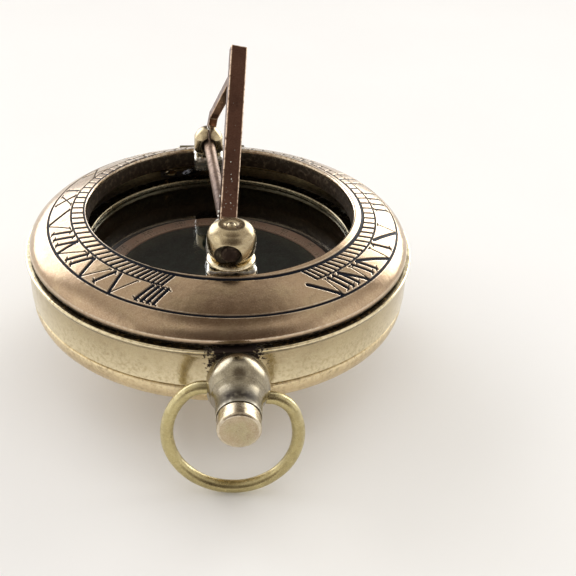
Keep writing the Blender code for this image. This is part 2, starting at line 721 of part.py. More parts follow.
def build_back_leg(gnomon):
    """Leg from the rod's north end, leaning over the north post to the style."""
    inner, outer = LEG_FOOT_Y
    knee_out = Vector((outer, LEG_KNEE))
    top = Vector((LEG_TOP_Y - NORMAL_Y, style_height(LEG_TOP_Y) - NORMAL_Z))
    direction = (top - knee_out).normalized()
    slope = direction.y / direction.x
    drop = LEG_THICK / abs(direction.x)
    knee_in = Vector((inner, knee_out.y + slope * (inner - outer) - drop))
    outline = [   # (y, z)
        (outer, GNOMON_BASE), tuple(knee_out), meet_style(knee_out, direction),
        meet_style(knee_in, direction), tuple(knee_in), (inner, GNOMON_BASE)]
    plate("gnomon_back_leg", outline, LEG_WIDTH, "dark_bronze",
          location=(LEG_X, 0, 0), rotation=OUTLINE_YZ, parent=gnomon)


# =====================================================================
# assembly
# =====================================================================
def build_case(case):
    build_case_back(case)
    build_rim_cover(case)
    build_compass_bowl(case)
    build_compass_glass(case)
    build_retaining_ring(case)
    build_compass_pivot(case)
    build_case_hinge_leaf(case)
    build_hinge_pin(case)
    build_lift_spring()
    build_lift_spring_rivet(case)
    build_latch_guide(case)
    build_latch_leaf_spring(case)
    build_latch_slide(case)
    build_card(case)


def build_pendant(case):
    pendant = anchor("pendant_anchor", location=(PEND_X, BALL_Y, PEND_Z),
                     rotation=(0, 0, PEND_YAW), parent=case)
    build_pendant_neck(pendant, build_case_band(case))
    build_pendant_ball(pendant)
    build_return_spring(pendant)
    build_bow(pendant)
    build_button(pendant)


def build_lid(case):
    lid = anchor("lid_anchor", location=(0, HINGE_Y, HINGE_Z), parent=case)
    build_dial_ring(lid)
    build_lid_hinge_leaf(lid)
    build_catch_lug(lid)
    # the fold axis is also the axis of both cross bores
    fold = anchor("fold_anchor", location=in_lid((FOLD_SOUTH_X + NORTH_X) / 2.0, 0, AXIS_Z),
                  rotation=(0, 0, FOLD_TURN), parent=lid)
    build_south_post(lid, fold)
    build_north_post(lid, fold)
    gnomon = anchor("gnomon_anchor", rotation=(0, LEAN, 0), parent=fold)
    build_rod(gnomon)
    build_style(gnomon)
    build_back_leg(gnomon)


case_anchor = anchor("case_anchor")
build_case(case_anchor)
build_pendant(case_anchor)
build_lid(case_anchor)
bpy.context.view_layer.update()
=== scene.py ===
"""Looks of a push-button pocket sundial with a compass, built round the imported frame.

The case lies flat with its underside at z = 0 and its axis on Z, and the dial faces +Z.
The pendant, bow and push button stand on the -Y (south) side and the hinge on the +Y
(north) side. Lengths are in mm unless noted; meshes are written in metres.
"""

from math import acos, atan2, cos, hypot, pi, radians, sin, sqrt, tan

import bmesh
import bpy
import numpy as np
from mathutils import Matrix, Vector, noise


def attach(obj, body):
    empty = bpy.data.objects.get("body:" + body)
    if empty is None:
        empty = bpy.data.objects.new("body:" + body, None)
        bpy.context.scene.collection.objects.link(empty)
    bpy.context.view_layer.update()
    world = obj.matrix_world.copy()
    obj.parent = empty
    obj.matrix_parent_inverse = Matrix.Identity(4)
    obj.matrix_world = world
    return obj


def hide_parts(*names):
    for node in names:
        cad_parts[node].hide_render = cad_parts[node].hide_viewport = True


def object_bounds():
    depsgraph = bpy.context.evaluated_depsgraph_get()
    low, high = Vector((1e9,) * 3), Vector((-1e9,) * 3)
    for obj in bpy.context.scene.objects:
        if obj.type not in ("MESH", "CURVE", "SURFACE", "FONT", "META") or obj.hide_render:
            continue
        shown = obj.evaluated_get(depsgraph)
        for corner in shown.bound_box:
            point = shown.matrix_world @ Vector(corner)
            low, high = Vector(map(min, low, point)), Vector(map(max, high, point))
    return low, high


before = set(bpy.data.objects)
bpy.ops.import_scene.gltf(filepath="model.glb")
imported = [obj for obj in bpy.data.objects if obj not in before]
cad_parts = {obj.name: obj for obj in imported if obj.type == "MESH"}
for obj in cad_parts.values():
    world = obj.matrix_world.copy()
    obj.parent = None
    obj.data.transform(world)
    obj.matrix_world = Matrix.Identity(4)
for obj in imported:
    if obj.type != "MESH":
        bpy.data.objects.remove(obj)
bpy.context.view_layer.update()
MM = 0.001
scene = bpy.context.scene


# =====================================================================
# shader nodes
# =====================================================================
class Tree:
    """Strings shader nodes together. Colours are (r, g, b)."""

    def __init__(self, owner):
        owner.use_nodes = True
        self.nodes = owner.node_tree.nodes
        self.links = owner.node_tree.links
        self.nodes.clear()

    def put(self, socket, value):
        if isinstance(value, bpy.types.NodeSocket):
            self.links.new(value, socket)
        elif socket.type == "RGBA":
            socket.default_value = (*value, 1.0)
        else:
            socket.default_value = value

    def node(self, kind, inputs, **settings):
        made = self.nodes.new("ShaderNode" + kind)
        for key, value in settings.items():
            setattr(made, key, value)
        for key, value in inputs.items():
            self.put(made.inputs[key], value)
        return made

    def ramp(self, value, start, end, low=0.0, high=1.0):
        inputs = {"Value": value, "From Min": start, "From Max": end, "To Min": low, "To Max": high}
        return self.node("MapRange", inputs, interpolation_type="SMOOTHSTEP").outputs[0]

    def math(self, operation, a, b=0.0, clamp=False):
        return self.node("Math", {0: a, 1: b}, operation=operation, use_clamp=clamp).outputs[0]

    def times(self, a, b, clamp=False):
        return self.math("MULTIPLY", a, b, clamp)

    def mix(self, factor, a, b):
        # sockets 6, 7 and output 2 are the colour ones
        return self.node("Mix", {0: factor, 6: a, 7: b}, data_type="RGBA").outputs[2]


class Surface(Tree):
    """A material whose textures run in object coordinates, in mm."""

    def __init__(self, name, shader="BsdfPrincipled"):
        self.material = bpy.data.materials.new(name)
        super().__init__(self.material)
        output = self.node("OutputMaterial", {})
        self.shader = self.node(shader, {})
        self.put(output.inputs[0], self.shader.outputs[0])
        place = self.node("TexCoord", {}).outputs["Object"]
        scaled = self.node("VectorMath", {0: place, "Scale": 1000.0}, operation="SCALE")
        self.place = scaled.outputs[0]

    def finish(self, inputs):
        for key, value in inputs.items():
            self.put(self.shader.inputs[key], value)
        return self.material

    def noise(self, scale, detail=3.0, rough=0.55, distortion=0.0, vector=None):
        return self.node("TexNoise", {
            "Scale": scale, "Detail": detail, "Roughness": rough, "Distortion": distortion,
            "Vector": vector or self.place}).outputs[0]

    def spots(self, scale):
        return self.node("TexVoronoi", {"Scale": scale, "Vector": self.place}).outputs["Distance"]

    def attribute(self, name):
        return self.node("Attribute", {}, attribute_name=name).outputs["Fac"]

    def join(self, x, y, z):
        return self.node("CombineXYZ", {0: x, 1: y, 2: z}).outputs[0]

    def bump(self, height, strength, distance, normal=None):
        """distance is in metres."""
        inputs = {"Strength": strength, "Distance": distance, "Height": height}
        if normal is not None:
            inputs["Normal"] = normal
        return self.node("Bump", inputs).outputs[0]

    def near(self, point, radius):
        """1 at a point, falling to 0 at the radius."""
        away = self.node("VectorMath", {0: self.place, 1: point}, operation="DISTANCE")
        return self.ramp(away.outputs["Value"], start=radius, end=0.0)


# =====================================================================
# materials
# =====================================================================
# dark tone for dirt in hollows, also used as painted shade in recesses, under the lid's rim and in
# the pendant's mouth
GRIME_AND_SHADE_TONE = (0.014, 0.009, 0.007)
INK = (0.006, 0.008, 0.014)
RESIDUE = (0.035, 0.024, 0.020)
PIT_SHADE = 0.22          # pits are this much of the dark tone


def metal(name, base, dark, bright, rough, blotch, pits, patina, turned=0.0, residue=None,
          metallic=1.0, tint=None, sheen=0.22):
    """Antiqued metal: mottled tone, dark patina, small pits, polishing marks, worn edges.

    Reads the vertex attributes wear (rubbed edges), ink (engraved fill) and the grime one (dirt in
    cavities, plus painted shade in recesses, under the lid's rim and round the pendant's mouth).
    rough is the least and most roughness; turned = 1 runs the polishing marks round Z;
    residue is the (centre, radius) of a ragged dark stain; the others are strengths.
    """
    t = Surface(name)
    broad = t.noise(scale=0.16, detail=4.0, rough=0.6)
    medium = t.noise(scale=0.9, detail=4.0, rough=0.6, distortion=0.6)
    fine = t.noise(scale=7.0, detail=3.0, rough=0.6)
    color = t.mix(t.times(t.ramp(broad, start=0.38, end=0.68), blotch, clamp=True), base, dark)
    if tint:
        patches = t.ramp(t.noise(scale=0.33, detail=2.0), start=0.45, end=0.7)
        color = t.mix(t.times(patches, 0.6), color, tint)
    color = t.mix(t.times(t.ramp(medium, start=0.52, end=0.78), patina), color, dark)
    color = t.mix(t.times(t.ramp(fine, start=0.35, end=0.75), sheen), color, bright)

    speck = t.times(t.ramp(t.spots(scale=2.6), start=0.16, end=0.04),
                    t.ramp(t.noise(scale=1.3, detail=1.0), start=0.5, end=0.62))
    speck = t.times(speck, pits, clamp=True)
    color = t.mix(speck, color, tuple(c * PIT_SHADE for c in dark))

    rubbed = t.ramp(t.noise(scale=2.2, detail=3.0), start=0.25, end=0.6)
    color = t.mix(t.times(t.attribute("wear"), rubbed, clamp=True), color, bright)
    # grime tone: real dirt in hollow corners, and painted shade where pieces paint recesses, the
    # lid's underside and the pendant's mouth
    patchiness = t.ramp(t.noise(scale=1.7, detail=4.0), start=0.15, end=0.55, low=0.55, high=1.0)
    grime_and_shade = t.times(t.attribute("grime_and_shade"), patchiness, clamp=True)
    color = t.mix(grime_and_shade, color, GRIME_AND_SHADE_TONE)
    ink = t.attribute("ink")
    color = t.mix(ink, color, INK)
    dull = t.math("MAXIMUM", ink, grime_and_shade)
    if residue:
        torn = t.ramp(t.noise(scale=2.4, detail=4.0, rough=0.65),
                      start=0.2, end=0.8, low=-0.55, high=0.35)
        ragged = t.ramp(t.math("ADD", t.near(*residue), torn), start=0.28, end=0.42)
        color = t.mix(ragged, color, RESIDUE)
        dull = t.math("MAXIMUM", dull, ragged)

    # polishing marks: noise squeezed across the direction of the marks
    x, y, z = t.node("SeparateXYZ", {0: t.place}).outputs
    radius = t.math("SQRT", t.math("ADD", t.times(x, x), t.times(y, y)))
    around = t.math("ARCTAN2", y, x)
    rings = t.noise(scale=1.0, detail=4.0, rough=0.7, vector=t.join(
        x=t.times(radius, 22.0), y=t.times(z, 22.0), z=t.times(around, 3.0)))
    hairs = t.noise(scale=1.0, detail=3.0, rough=0.7, vector=t.join(
        x=t.times(x, 2.0), y=t.times(y, 26.0), z=t.times(z, 18.0)))
    scratch = t.mix(turned, hairs, rings)

    uneven = t.math("ADD", t.times(medium, 0.6), t.times(scratch, 0.4))
    roughness = t.ramp(uneven, start=0.3, end=0.7, low=rough[0], high=rough[1])
    height = t.math("ADD", t.times(scratch, 0.6), t.times(fine, 0.35))
    height = t.math("SUBTRACT", height, t.times(speck, 0.8))
    waves = t.bump(t.noise(scale=0.45, detail=3.0), strength=0.35, distance=0.00012)
    # dull parts are rougher, less glossy and less metallic
    return t.finish({
        "Base Color": color,
        "Specular IOR Level": t.math("SUBTRACT", 0.5, t.times(dull, 0.42)),
        "Roughness": t.math("ADD", roughness, t.times(dull, 0.3), clamp=True),
        "Metallic": t.math("SUBTRACT", metallic, t.times(dull, 0.55)),
        "Normal": t.bump(height, strength=0.22, distance=0.000012, normal=waves)})


def card_paint():
    t = Surface("card_black_paint")
    color = t.mix(t.ramp(t.noise(scale=0.8, detail=5.0), start=0.35, end=0.7),
                  (0.006, 0.010, 0.009), (0.012, 0.022, 0.017))
    return t.finish({
        "Base Color": t.mix(t.times(t.attribute("wear"), 0.8), color, (0.30, 0.26, 0.17)),
        "Roughness": t.ramp(t.noise(scale=3.0, detail=4.0),
                            start=0.3, end=0.7, low=0.45, high=0.7),
        "Specular IOR Level": 0.12,
        "Normal": t.bump(t.noise(scale=9.0, detail=4.0), strength=0.3, distance=0.00002)})


def clear_glass():
    """Clear with a weak, slightly smeared reflection."""
    t = Surface("clear_window", shader="MixShader")
    clear = t.node("BsdfTransparent", {"Color": (0.93, 0.95, 0.94)})
    smear = t.noise(scale=0.5, detail=5.0, rough=0.6, distortion=1.2)
    gloss = t.node("BsdfGlossy", {
        "Color": (0.9, 0.93, 0.94),
        "Roughness": t.ramp(smear, start=0.42, end=0.75, low=0.02, high=0.14),
        "Normal": t.bump(t.noise(scale=0.2, detail=2.0), strength=0.1, distance=0.0001)})
    fresnel = t.node("Fresnel", {"IOR": 1.45})
    return t.finish({
        0: t.times(fresnel.outputs[0], 0.16), 1: clear.outputs[0], 2: gloss.outputs[0]})


FINISH = {
    "dial": metal("dial_antique", base=(0.46, 0.325, 0.205), dark=(0.22, 0.138, 0.088),
                  bright=(0.86, 0.74, 0.58), rough=(0.11, 0.24), blotch=0.45, pits=0.5,
                  turned=1.0, patina=0.35, tint=(0.50, 0.38, 0.23)),
    "band": metal("band_antique", base=(0.58, 0.47, 0.28), dark=(0.33, 0.24, 0.13),
                  bright=(0.94, 0.84, 0.58), rough=(0.10, 0.24), blotch=0.35, pits=0.8,
                  turned=1.0, patina=0.3, residue=((0.3, -25.0, 7.4), 5.6)),
    "back": metal("back_antique", base=(0.60, 0.46, 0.27), dark=(0.28, 0.19, 0.10),
                  bright=(0.92, 0.78, 0.50), rough=(0.22, 0.42), blotch=0.5, pits=0.8,
                  turned=1.0, patina=0.5),
    "bright": metal("post_antique", base=(0.52, 0.42, 0.25), dark=(0.18, 0.12, 0.07),
                    bright=(0.95, 0.85, 0.62), rough=(0.16, 0.32), blotch=0.45, pits=0.6,
                    patina=0.55),
    "ball": metal("ball_antique", base=(0.31, 0.265, 0.18), dark=(0.12, 0.088, 0.056),
                  bright=(0.86, 0.80, 0.66), rough=(0.12, 0.26), blotch=0.25, pits=0.5,
                  patina=0.3),
    "button": metal("button_antique", base=(0.42, 0.325, 0.20), dark=(0.27, 0.165, 0.11),
                    bright=(0.80, 0.72, 0.58), rough=(0.16, 0.32), blotch=0.75, pits=0.9,
                    patina=0.35, tint=(0.40, 0.36, 0.20)),
    "bow": metal("bow_antique", base=(0.50, 0.42, 0.20), dark=(0.24, 0.18, 0.08),
                 bright=(0.86, 0.78, 0.50), rough=(0.20, 0.38), blotch=0.5, pits=0.7,
                 patina=0.45),
    "gnomon": metal("gnomon_bronze", base=(0.145, 0.070, 0.048), dark=(0.055, 0.026, 0.019),
                    bright=(0.80, 0.60, 0.44), rough=(0.24, 0.44), blotch=0.5, pits=0.5,
                    patina=0.5, sheen=0.05),
    "solder": metal("solder_grey", base=(0.62, 0.60, 0.54), dark=(0.26, 0.24, 0.20),
                    bright=(0.95, 0.93, 0.85), rough=(0.16, 0.38), blotch=0.4, pits=0.8,
                    patina=0.4),
    # the bowl and cover plate get near-black tones as painted shade for the dark space under the
    # lid
    "inner": metal("bowl_painted_shade", base=(0.060, 0.048, 0.034), dark=(0.022, 0.016, 0.011),
                   bright=(0.28, 0.22, 0.14), rough=(0.24, 0.42), blotch=0.5, pits=0.5,
                   turned=1.0, patina=0.5),
    "plate": metal("plate_painted_shade", base=(0.12, 0.095, 0.06), dark=(0.05, 0.038, 0.024),
                   bright=(0.34, 0.28, 0.18), rough=(0.28, 0.46), blotch=0.6, pits=0.8,
                   turned=1.0, patina=0.5),
    "keeper": metal("keeper_ring", base=(0.20, 0.165, 0.10), dark=(0.08, 0.06, 0.035),
                    bright=(0.50, 0.44, 0.30), rough=(0.16, 0.32), blotch=0.5, pits=0.5,
                    turned=1.0, patina=0.4),
    "card_ring": metal("card_copper", base=(0.62, 0.36, 0.26), dark=(0.34, 0.18, 0.125),
                       bright=(0.80, 0.56, 0.42), rough=(0.40, 0.60), blotch=0.4, pits=0.5,
                       turned=1.0, patina=0.35, metallic=0.2),
    "steel": metal("spring_blued", base=(0.24, 0.24, 0.26), dark=(0.08, 0.08, 0.10),
                   bright=(0.58, 0.58, 0.60), rough=(0.22, 0.40), blotch=0.5, pits=0.6,
                   patina=0.5),
    "card": card_paint(),
    "glass": clear_glass(),
}


# =====================================================================
# mesh helpers
# =====================================================================
def shift(x, y, z):
    return Matrix.Translation(Vector((x, y, z)) * MM)


def turn(angle, axis):
    return Matrix.Rotation(angle, 4, axis)


def add_object(name, mesh):
    obj = bpy.data.objects.new(name, mesh)
    scene.collection.objects.link(obj)
    return obj


def settle(obj, name, finish, body, replaced=None):
    obj.name = name
    obj.data.name = obj.name if obj.data.name.startswith("tool") else obj.data.name
    obj.data.materials.clear()
    obj.data.materials.append(FINISH[finish])
    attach(obj, body)
    if replaced:
        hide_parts(replaced)
    return obj


def add_attribute(mesh, name, values):
    layer = mesh.attributes.new(name, "FLOAT", "POINT")
    layer.data.foreach_set("value", np.asarray(values, np.float32))


def shade(mesh, sharp):
    """Smooth shading, with edges over the angle sharp (degrees) kept crisp."""
    mesh.shade_smooth()
    mesh.set_sharp_from_angle(angle=radians(sharp))


def build_piece(piece, verts, faces, finish, body, matrix, sharp, attributes):
    name = piece + "_looks"
    mesh = bpy.data.meshes.new(name)
    mesh.from_pydata([tuple(v) for v in np.asarray(verts) * MM], [], faces)
    for key, values in attributes.items():
        add_attribute(mesh, key, values)
    if matrix is not None:
        mesh.transform(matrix)
    mesh.validate()
    mesh.update()
    shade(mesh, sharp)
    return settle(add_object(name, mesh), name, finish, body, piece)


def fillet(profile, rounding, closed, corner_steps):
    """Rounds every corner of a profile.

    Returns the points, a mark for each (+ convex, - hollow, 0 left alone) and the
    profile's winding."""
    points = [Vector(p) for p in profile]
    count = len(points)
    area = sum(points[i].x * points[(i + 1) % count].y - points[(i + 1) % count].x * points[i].y
               for i in range(count))
    winding = 1.0 if area > 0 else -1.0
    rounded, marks = [], []
    for i, p in enumerate(points):
        before, after = points[i - 1] - p, points[(i + 1) % count] - p
        bend = abs((-before).angle_signed(after)) if before.length and after.length else 0.0
        cut = min(rounding, 0.42 * before.length, 0.42 * after.length)
        open_end = not closed and i in (0, count - 1)
        if open_end or bend < radians(3) or cut < 0.004:
            rounded.append(p)
            marks.append(0.0)
            continue
        start, end = p + before.normalized() * cut, p + after.normalized() * cut
        cross = (-before).x * after.y - (-before).y * after.x
        mark = (1.0 if cross * winding > 0 else -1.0) * min(1.0, bend / radians(50))
        for k in range(corner_steps + 1):
            s = k / corner_steps
            rounded.append(start * (1 - s) ** 2 + p * 2 * s * (1 - s) + end * s * s)
            marks.append(mark)
    return [(max(p.x, 0.0), p.y) for p in rounded], marks, winding


def curve_through(points, step):
    """Smooth curve through (radius, height) points, sampled about every step mm."""
    p = np.array(points, float)
    p = np.vstack([2 * p[0] - p[1], p, 2 * p[-1] - p[-2]])
    curve = []
    for i in range(1, len(p) - 2):
        count = max(1, int(np.ceil(np.linalg.norm(p[i + 1] - p[i]) / step)))
        for k in range(count):
            t = k / count
            curve.append(0.5 * ((2 * p[i]) + (-p[i - 1] + p[i + 1]) * t
                                + (2 * p[i - 1] - 5 * p[i] + 4 * p[i + 1] - p[i + 2]) * t * t
                                + (-p[i - 1] + 3 * p[i] - 3 * p[i + 1] + p[i + 2]) * t ** 3))
    curve.append(p[-2])
    return np.array(curve)


def revolve(profile, steps, closed, winding):
    """Turns a profile round Z; points on the axis become one vertex.

    Returns the vertices, the faces and the vertex row of each profile point."""
    verts, rows = [], []
    angles = [2 * pi * k / steps for k in range(steps)]
    for r, z in profile:
        first = len(verts)
        if r < 1e-6:
            rows.append([first] * steps)
            verts.append((0.0, 0.0, z))
        else:
            rows.append(list(range(first, first + steps)))
            verts.extend((r * cos(a), r * sin(a), z) for a in angles)
    faces = []
    for i in range(len(profile) if closed else len(profile) - 1):
        row, after = rows[i], rows[(i + 1) % len(profile)]
        for k in range(steps):
            q = (k + 1) % steps
            face = [row[k], row[q], after[q], after[k]]
            face = [v for j, v in enumerate(face) if v not in face[:j]]
            if len(face) >= 3:
                faces.append(face if winding < 0 else face[::-1])
    return verts, faces, rows


def lathe(piece, profile, finish, body, steps, rounding, closed=False, matrix=None,
          sharp=50.0, wear=0.8, grime_and_shade=0.8, corner_steps=4):
    """A turned piece. The profile is a list of (radius, height)."""
    points, marks, winding = fillet(profile, rounding, closed, corner_steps)
    verts, faces, rows = revolve(points, steps, closed, winding)
    worn = np.zeros(len(verts))
    dirty = np.zeros(len(verts))
    for row, mark in zip(rows, marks):
        worn[row] = max(0.0, mark) * wear
        dirty[row] = max(0.0, -mark) * grime_and_shade
    return build_piece(piece, verts, faces, finish, body, matrix, sharp,
                       {"wear": worn, "grime_and_shade": dirty})


def edit(obj, *steps):
    """Applies modifiers, given as (kind, settings), in order and leaves a plain mesh."""
    for i, (kind, settings) in enumerate(steps):
        modifier = obj.modifiers.new("m%d" % i, kind)
        for key, value in settings.items():
            setattr(modifier, key, value)
    bpy.context.view_layer.update()
    depsgraph = bpy.context.evaluated_depsgraph_get()
    mesh = bpy.data.meshes.new_from_object(obj.evaluated_get(depsgraph))
    obj.modifiers.clear()
    old = obj.data
    obj.data = mesh
    mesh.name = obj.name
    bpy.data.meshes.remove(old)


def solid(verts, faces):
    mesh = bpy.data.meshes.new("tool")
    mesh.from_pydata([tuple(Vector(v) * MM) for v in verts], [], faces)
    bm = bmesh.new()
    bm.from_mesh(mesh)
    bmesh.ops.recalc_face_normals(bm, faces=bm.faces)
    bm.to_mesh(mesh)
    bm.free()
    return add_object("tool", mesh)


def cylinder(radius, length, matrix, steps=48):
    angles = [2 * pi * k / steps for k in range(steps)]
    verts = [(radius * cos(a), radius * sin(a), z)
             for z in (-length / 2, length / 2) for a in angles]
    faces = [[k, (k + 1) % steps, steps + (k + 1) % steps, steps + k] for k in range(steps)]
    faces += [list(range(steps))[::-1], list(range(steps, 2 * steps))]
    obj = solid(verts, faces)
    obj.data.transform(matrix)
    return obj


def block(low, high, matrix=Matrix.Identity(4)):
    x0, y0, z0 = low
    x1, y1, z1 = high
    verts = [(x, y, z) for z in (z0, z1) for x, y in ((x0, y0), (x1, y0), (x1, y1), (x0, y1))]
    faces = [(0, 3, 2, 1), (4, 5, 6, 7), (0, 1, 5, 4), (1, 2, 6, 5), (2, 3, 7, 6), (3, 0, 4, 7)]
    obj = solid(verts, faces)
    obj.data.transform(matrix)
    return obj


def boolean(obj, tools, operation="DIFFERENCE"):
    edit(obj, *[("BOOLEAN", {"operation": operation, "object": tool, "solver": "EXACT"})
                for tool in tools])
    for tool in tools:
        bpy.data.objects.remove(tool, do_unlink=True)


def carve(obj, tools, sharp):
    """Cuts the tools out and marks the new sharp edges."""
    boolean(obj, tools)
    obj.data.set_sharp_from_angle(angle=radians(sharp))


def mark_edges(obj, amount=0.9, full_angle=35.0):
    """Wear on convex edges and grime in hollow ones, full from full_angle (degrees) up."""
    bm = bmesh.new()
    bm.from_mesh(obj.data)
    worn = np.zeros(len(bm.verts))
    dirty = np.zeros(len(bm.verts))
    for edge in bm.edges:
        if len(edge.link_faces) != 2:
            continue
        angle = edge.calc_face_angle_signed(0.0)
        if abs(angle) > radians(12):
            marks = worn if angle > 0 else dirty
            for v in edge.verts:
                marks[v.index] = max(marks[v.index], min(1.0, abs(angle) / radians(full_angle)))
    bm.free()
    add_attribute(obj.data, "wear", worn * amount)
    add_attribute(obj.data, "grime_and_shade", dirty * 0.8)


def settle_block(obj, edge_width, piece, finish, body):
    """Rounds, marks and settles a piece made of blocks."""
    edit(obj, ("BEVEL", {"width": edge_width * MM, "segments": 2, "limit_method": "ANGLE",
                         "angle_limit": radians(35.0)}))
    shade(obj.data, 50.0)
    mark_edges(obj)
    settle(obj, piece + "_looks", finish, body, piece)


def roughen(obj, amount, scale, seed):
    """Uneven hand-worked surface: moves vertices along their normals."""
    for v in obj.data.vertices:
        p = v.co / MM * scale + Vector((seed, seed * 2.0, 0))
        v.co += v.normal * (noise.noise(p) + 0.5 * noise.noise(p * 2.1)) * amount * MM
    obj.data.update()


def repaint_grime(obj, recipe):
    """Sets the grime attribute, which also carries painted shade, to recipe(vertex places in
    metres, present values).
    """
    count = len(obj.data.vertices)
    places = np.zeros(count * 3, np.float32)
    obj.data.vertices.foreach_get("co", places)
    layer = obj.data.attributes["grime_and_shade"]
    grime_and_shade = np.zeros(count, np.float32)
    layer.data.foreach_get("value", grime_and_shade)
    grime_and_shade = recipe(places.reshape(-1, 3), grime_and_shade)
    layer.data.foreach_set("value", np.asarray(grime_and_shade, np.float32))


def darken(obj, inside, amount=0.95):
    """Painted shade, in the grime attribute's dark tone, on the vertices picked by inside(x, y, z).
    """
    repaint_grime(obj, lambda places, grime_and_shade: np.where(inside(*(places / MM).T), amount, grime_and_shade))


# =====================================================================
# shared places
# =====================================================================
ALONG_X = turn(radians(90.0), "Y")
ALONG_Y = turn(radians(90.0), "X")        # heights of a profile then run towards -Y
HINGE = shift(0, 26.3, 8.3) @ ALONG_X
PENDANT = shift(0.34, -28.0, 5.6) @ turn(radians(-3.2), "Z")
PENDANT_AXIS = PENDANT @ ALONG_Y
BOW_BORES = (PENDANT @ shift(0, -0.35, -0.70) @ turn(radians(-3.0), "Z")
             @ turn(radians(10.0), "Y"))
BOW = BOW_BORES @ turn(radians(-7.0), "X")
FOLD = shift(-0.505, 0.0, 15.3) @ turn(atan2(1.09, 29.0), "Z")     # axis of the gnomon rod
GNOMON = FOLD @ turn(radians(10.0), "Y")
POST_Y = 14.50                            # the posts stand this far north and south
SOUTH_X, NORTH_X = 0.33, -1.05
GNOMON_FOOT_Y = -12.0                     # where the style's slope starts


# =====================================================================
# case
# =====================================================================
def case_back():
    profile = [
        (0.0, 0.50), (22.4, 0.50), (22.9, 0.90), (22.9, 3.60), (23.6, 3.60), (23.6, 2.44),
        (24.60, 2.44), (24.75, 2.30), (24.70, 1.25), (24.45, 0.50), (24.00, 0.10), (23.45, 0.0),
        (14.2, 0.0), (14.0, 0.05), (13.8, 0.0), (6.2, 0.0), (6.0, 0.04), (5.8, 0.0), (0.0, 0.0)]
    lathe("case_back", profile, "back", "case", steps=320, rounding=0.16, sharp=60)


def case_band():
    """The side wall, with a hole for the pendant."""
    profile = [
        (23.75, 8.00), (25.03, 8.00), (25.15, 7.88), (25.15, 7.66), (24.93, 7.42), (24.85, 7.00),
        (24.85, 2.80), (24.62, 2.52), (23.75, 2.52)]
    band = lathe("case_band", profile, "band", "case", steps=320, rounding=0.10,
                 closed=True, sharp=60)
    carve(band, [cylinder(1.66, 3.0, PENDANT @ shift(0, 3.8, 0) @ ALONG_Y)], sharp=60)


def rim_cover_plate():
    """Flat ring with a notch on the south side and a small hole on the north."""
    inside, outside, bottom, top = 19.10, 23.65, 6.40, 6.90
    profile = [(inside, top), (outside, top), (outside, bottom), (inside, bottom)]
    plate = lathe("rim_cover_plate", profile, "plate", "case", steps=240,
                  rounding=0.05, closed=True)
    carve(plate, [block((-2.7, -24.5, 6.0), (2.7, -20.1, 7.3)),
                  cylinder(0.50, 2.0, shift(-6.4, 20.9, 6.6))], sharp=50)


def compass_housing():
    """Bowl, window and the ring that holds the window."""
    bowl = [(0.0, 0.85), (17.3, 0.85), (17.6, 1.15), (17.6, 6.60), (18.3, 6.60), (18.3, 0.95),
            (17.9, 0.55), (0.0, 0.55)]
    lathe("compass_bowl", bowl, "inner", "case", steps=240, rounding=0.12, wear=0.3)
    window = [(0.0, 7.40), (18.05, 7.40), (18.20, 7.25), (18.20, 6.65), (0.0, 6.65)]
    lathe("compass_glass", window, "glass", "case", steps=240, rounding=0.05)
    ring = [(17.20, 7.85), (17.35, 8.00), (18.85, 8.00), (19.00, 7.85), (19.00, 5.60),
            (18.38, 5.60), (18.38, 7.46), (17.20, 7.46)]
    lathe("glass_retaining_ring", ring, "keeper", "case", steps=240,
          rounding=0.07, closed=True)


KNUCKLE_RADIUS, KNUCKLE_BORE = 0.95, 0.45
CASE_LEAF_HALF, KNUCKLE_GAP_HALF, LID_LEAF_HALF = 5.0, 2.15, 2.0     # half lengths along X
CASE_LEAF_Y = (25.22, 25.86)


def case_hinge_leaf():
    """Leaf with two knuckles, one at each end of the hinge."""
    half = CASE_LEAF_HALF
    near, far = CASE_LEAF_Y
    leaf = block((-half, near, 5.00), (half, far, 7.10))
    for x0, x1 in ((-half, -KNUCKLE_GAP_HALF), (KNUCKLE_GAP_HALF, half)):
        boolean(leaf, [block((x0, near, 7.00), (x1, far, 8.30))], "UNION")
        middle = HINGE @ shift(0, 0, (x0 + x1) / 2)
        boolean(leaf, [cylinder(KNUCKLE_RADIUS, x1 - x0, middle)], "UNION")
    boolean(leaf, [cylinder(KNUCKLE_BORE, 12.0, HINGE)])
    settle_block(leaf, 0.07, "case_hinge_leaf", "band", "case")


def hinge_pin():
    end = [(0.0, 5.45), (0.55, 5.40), (0.68, 5.20), (0.68, 5.05), (0.40, 5.05)]
    profile = end + [(r, -z) for r, z in reversed(end)]
    lathe("hinge_pin", profile, "bright", "case", steps=40, rounding=0.08,
          matrix=HINGE)


def lid_hinge_leaf():
    half = LID_LEAF_HALF
    leaf = block((-half, 24.72, 8.52), (half, 26.0, 9.12))
    boolean(leaf, [cylinder(KNUCKLE_RADIUS, 2 * half, HINGE)], "UNION")
    boolean(leaf, [cylinder(KNUCKLE_BORE, 6.0, HINGE)])
    settle_block(leaf, 0.07, "lid_hinge_leaf", "band", "lid")


def lid_catch_lug():
    """Small L-shaped lug hanging from the south side of the lid."""
    half, bottom = 2.0, 6.92
    lug = block((-half, -23.50, bottom), (half, -23.02, 9.02))
    boolean(lug, [block((-half, -23.2, bottom), (half, -22.72, 7.30))], "UNION")
    settle_block(lug, 0.06, "lid_catch_lug", "bright", "lid")


# =====================================================================
# pendant, bow and button
# =====================================================================
BALL_RADIUS = 3.58
# (radius, length, distance from the middle) of the bow's bores, and their wider mouths
BALL_BORES = ((0.80, 1.60, 3.10), (1.08, 1.00, 3.62))


def pendant_neck():
    profile = [(1.00, 0.0), (1.70, 0.0), (1.80, -0.10), (1.80, -0.30), (1.60, -0.30),
               (1.60, -1.60), (1.00, -1.60)]
    lathe("pendant_neck", profile, "button", "case", steps=64, rounding=0.05,
          closed=True, matrix=PENDANT @ shift(0, 2.70, 0) @ ALONG_Y)


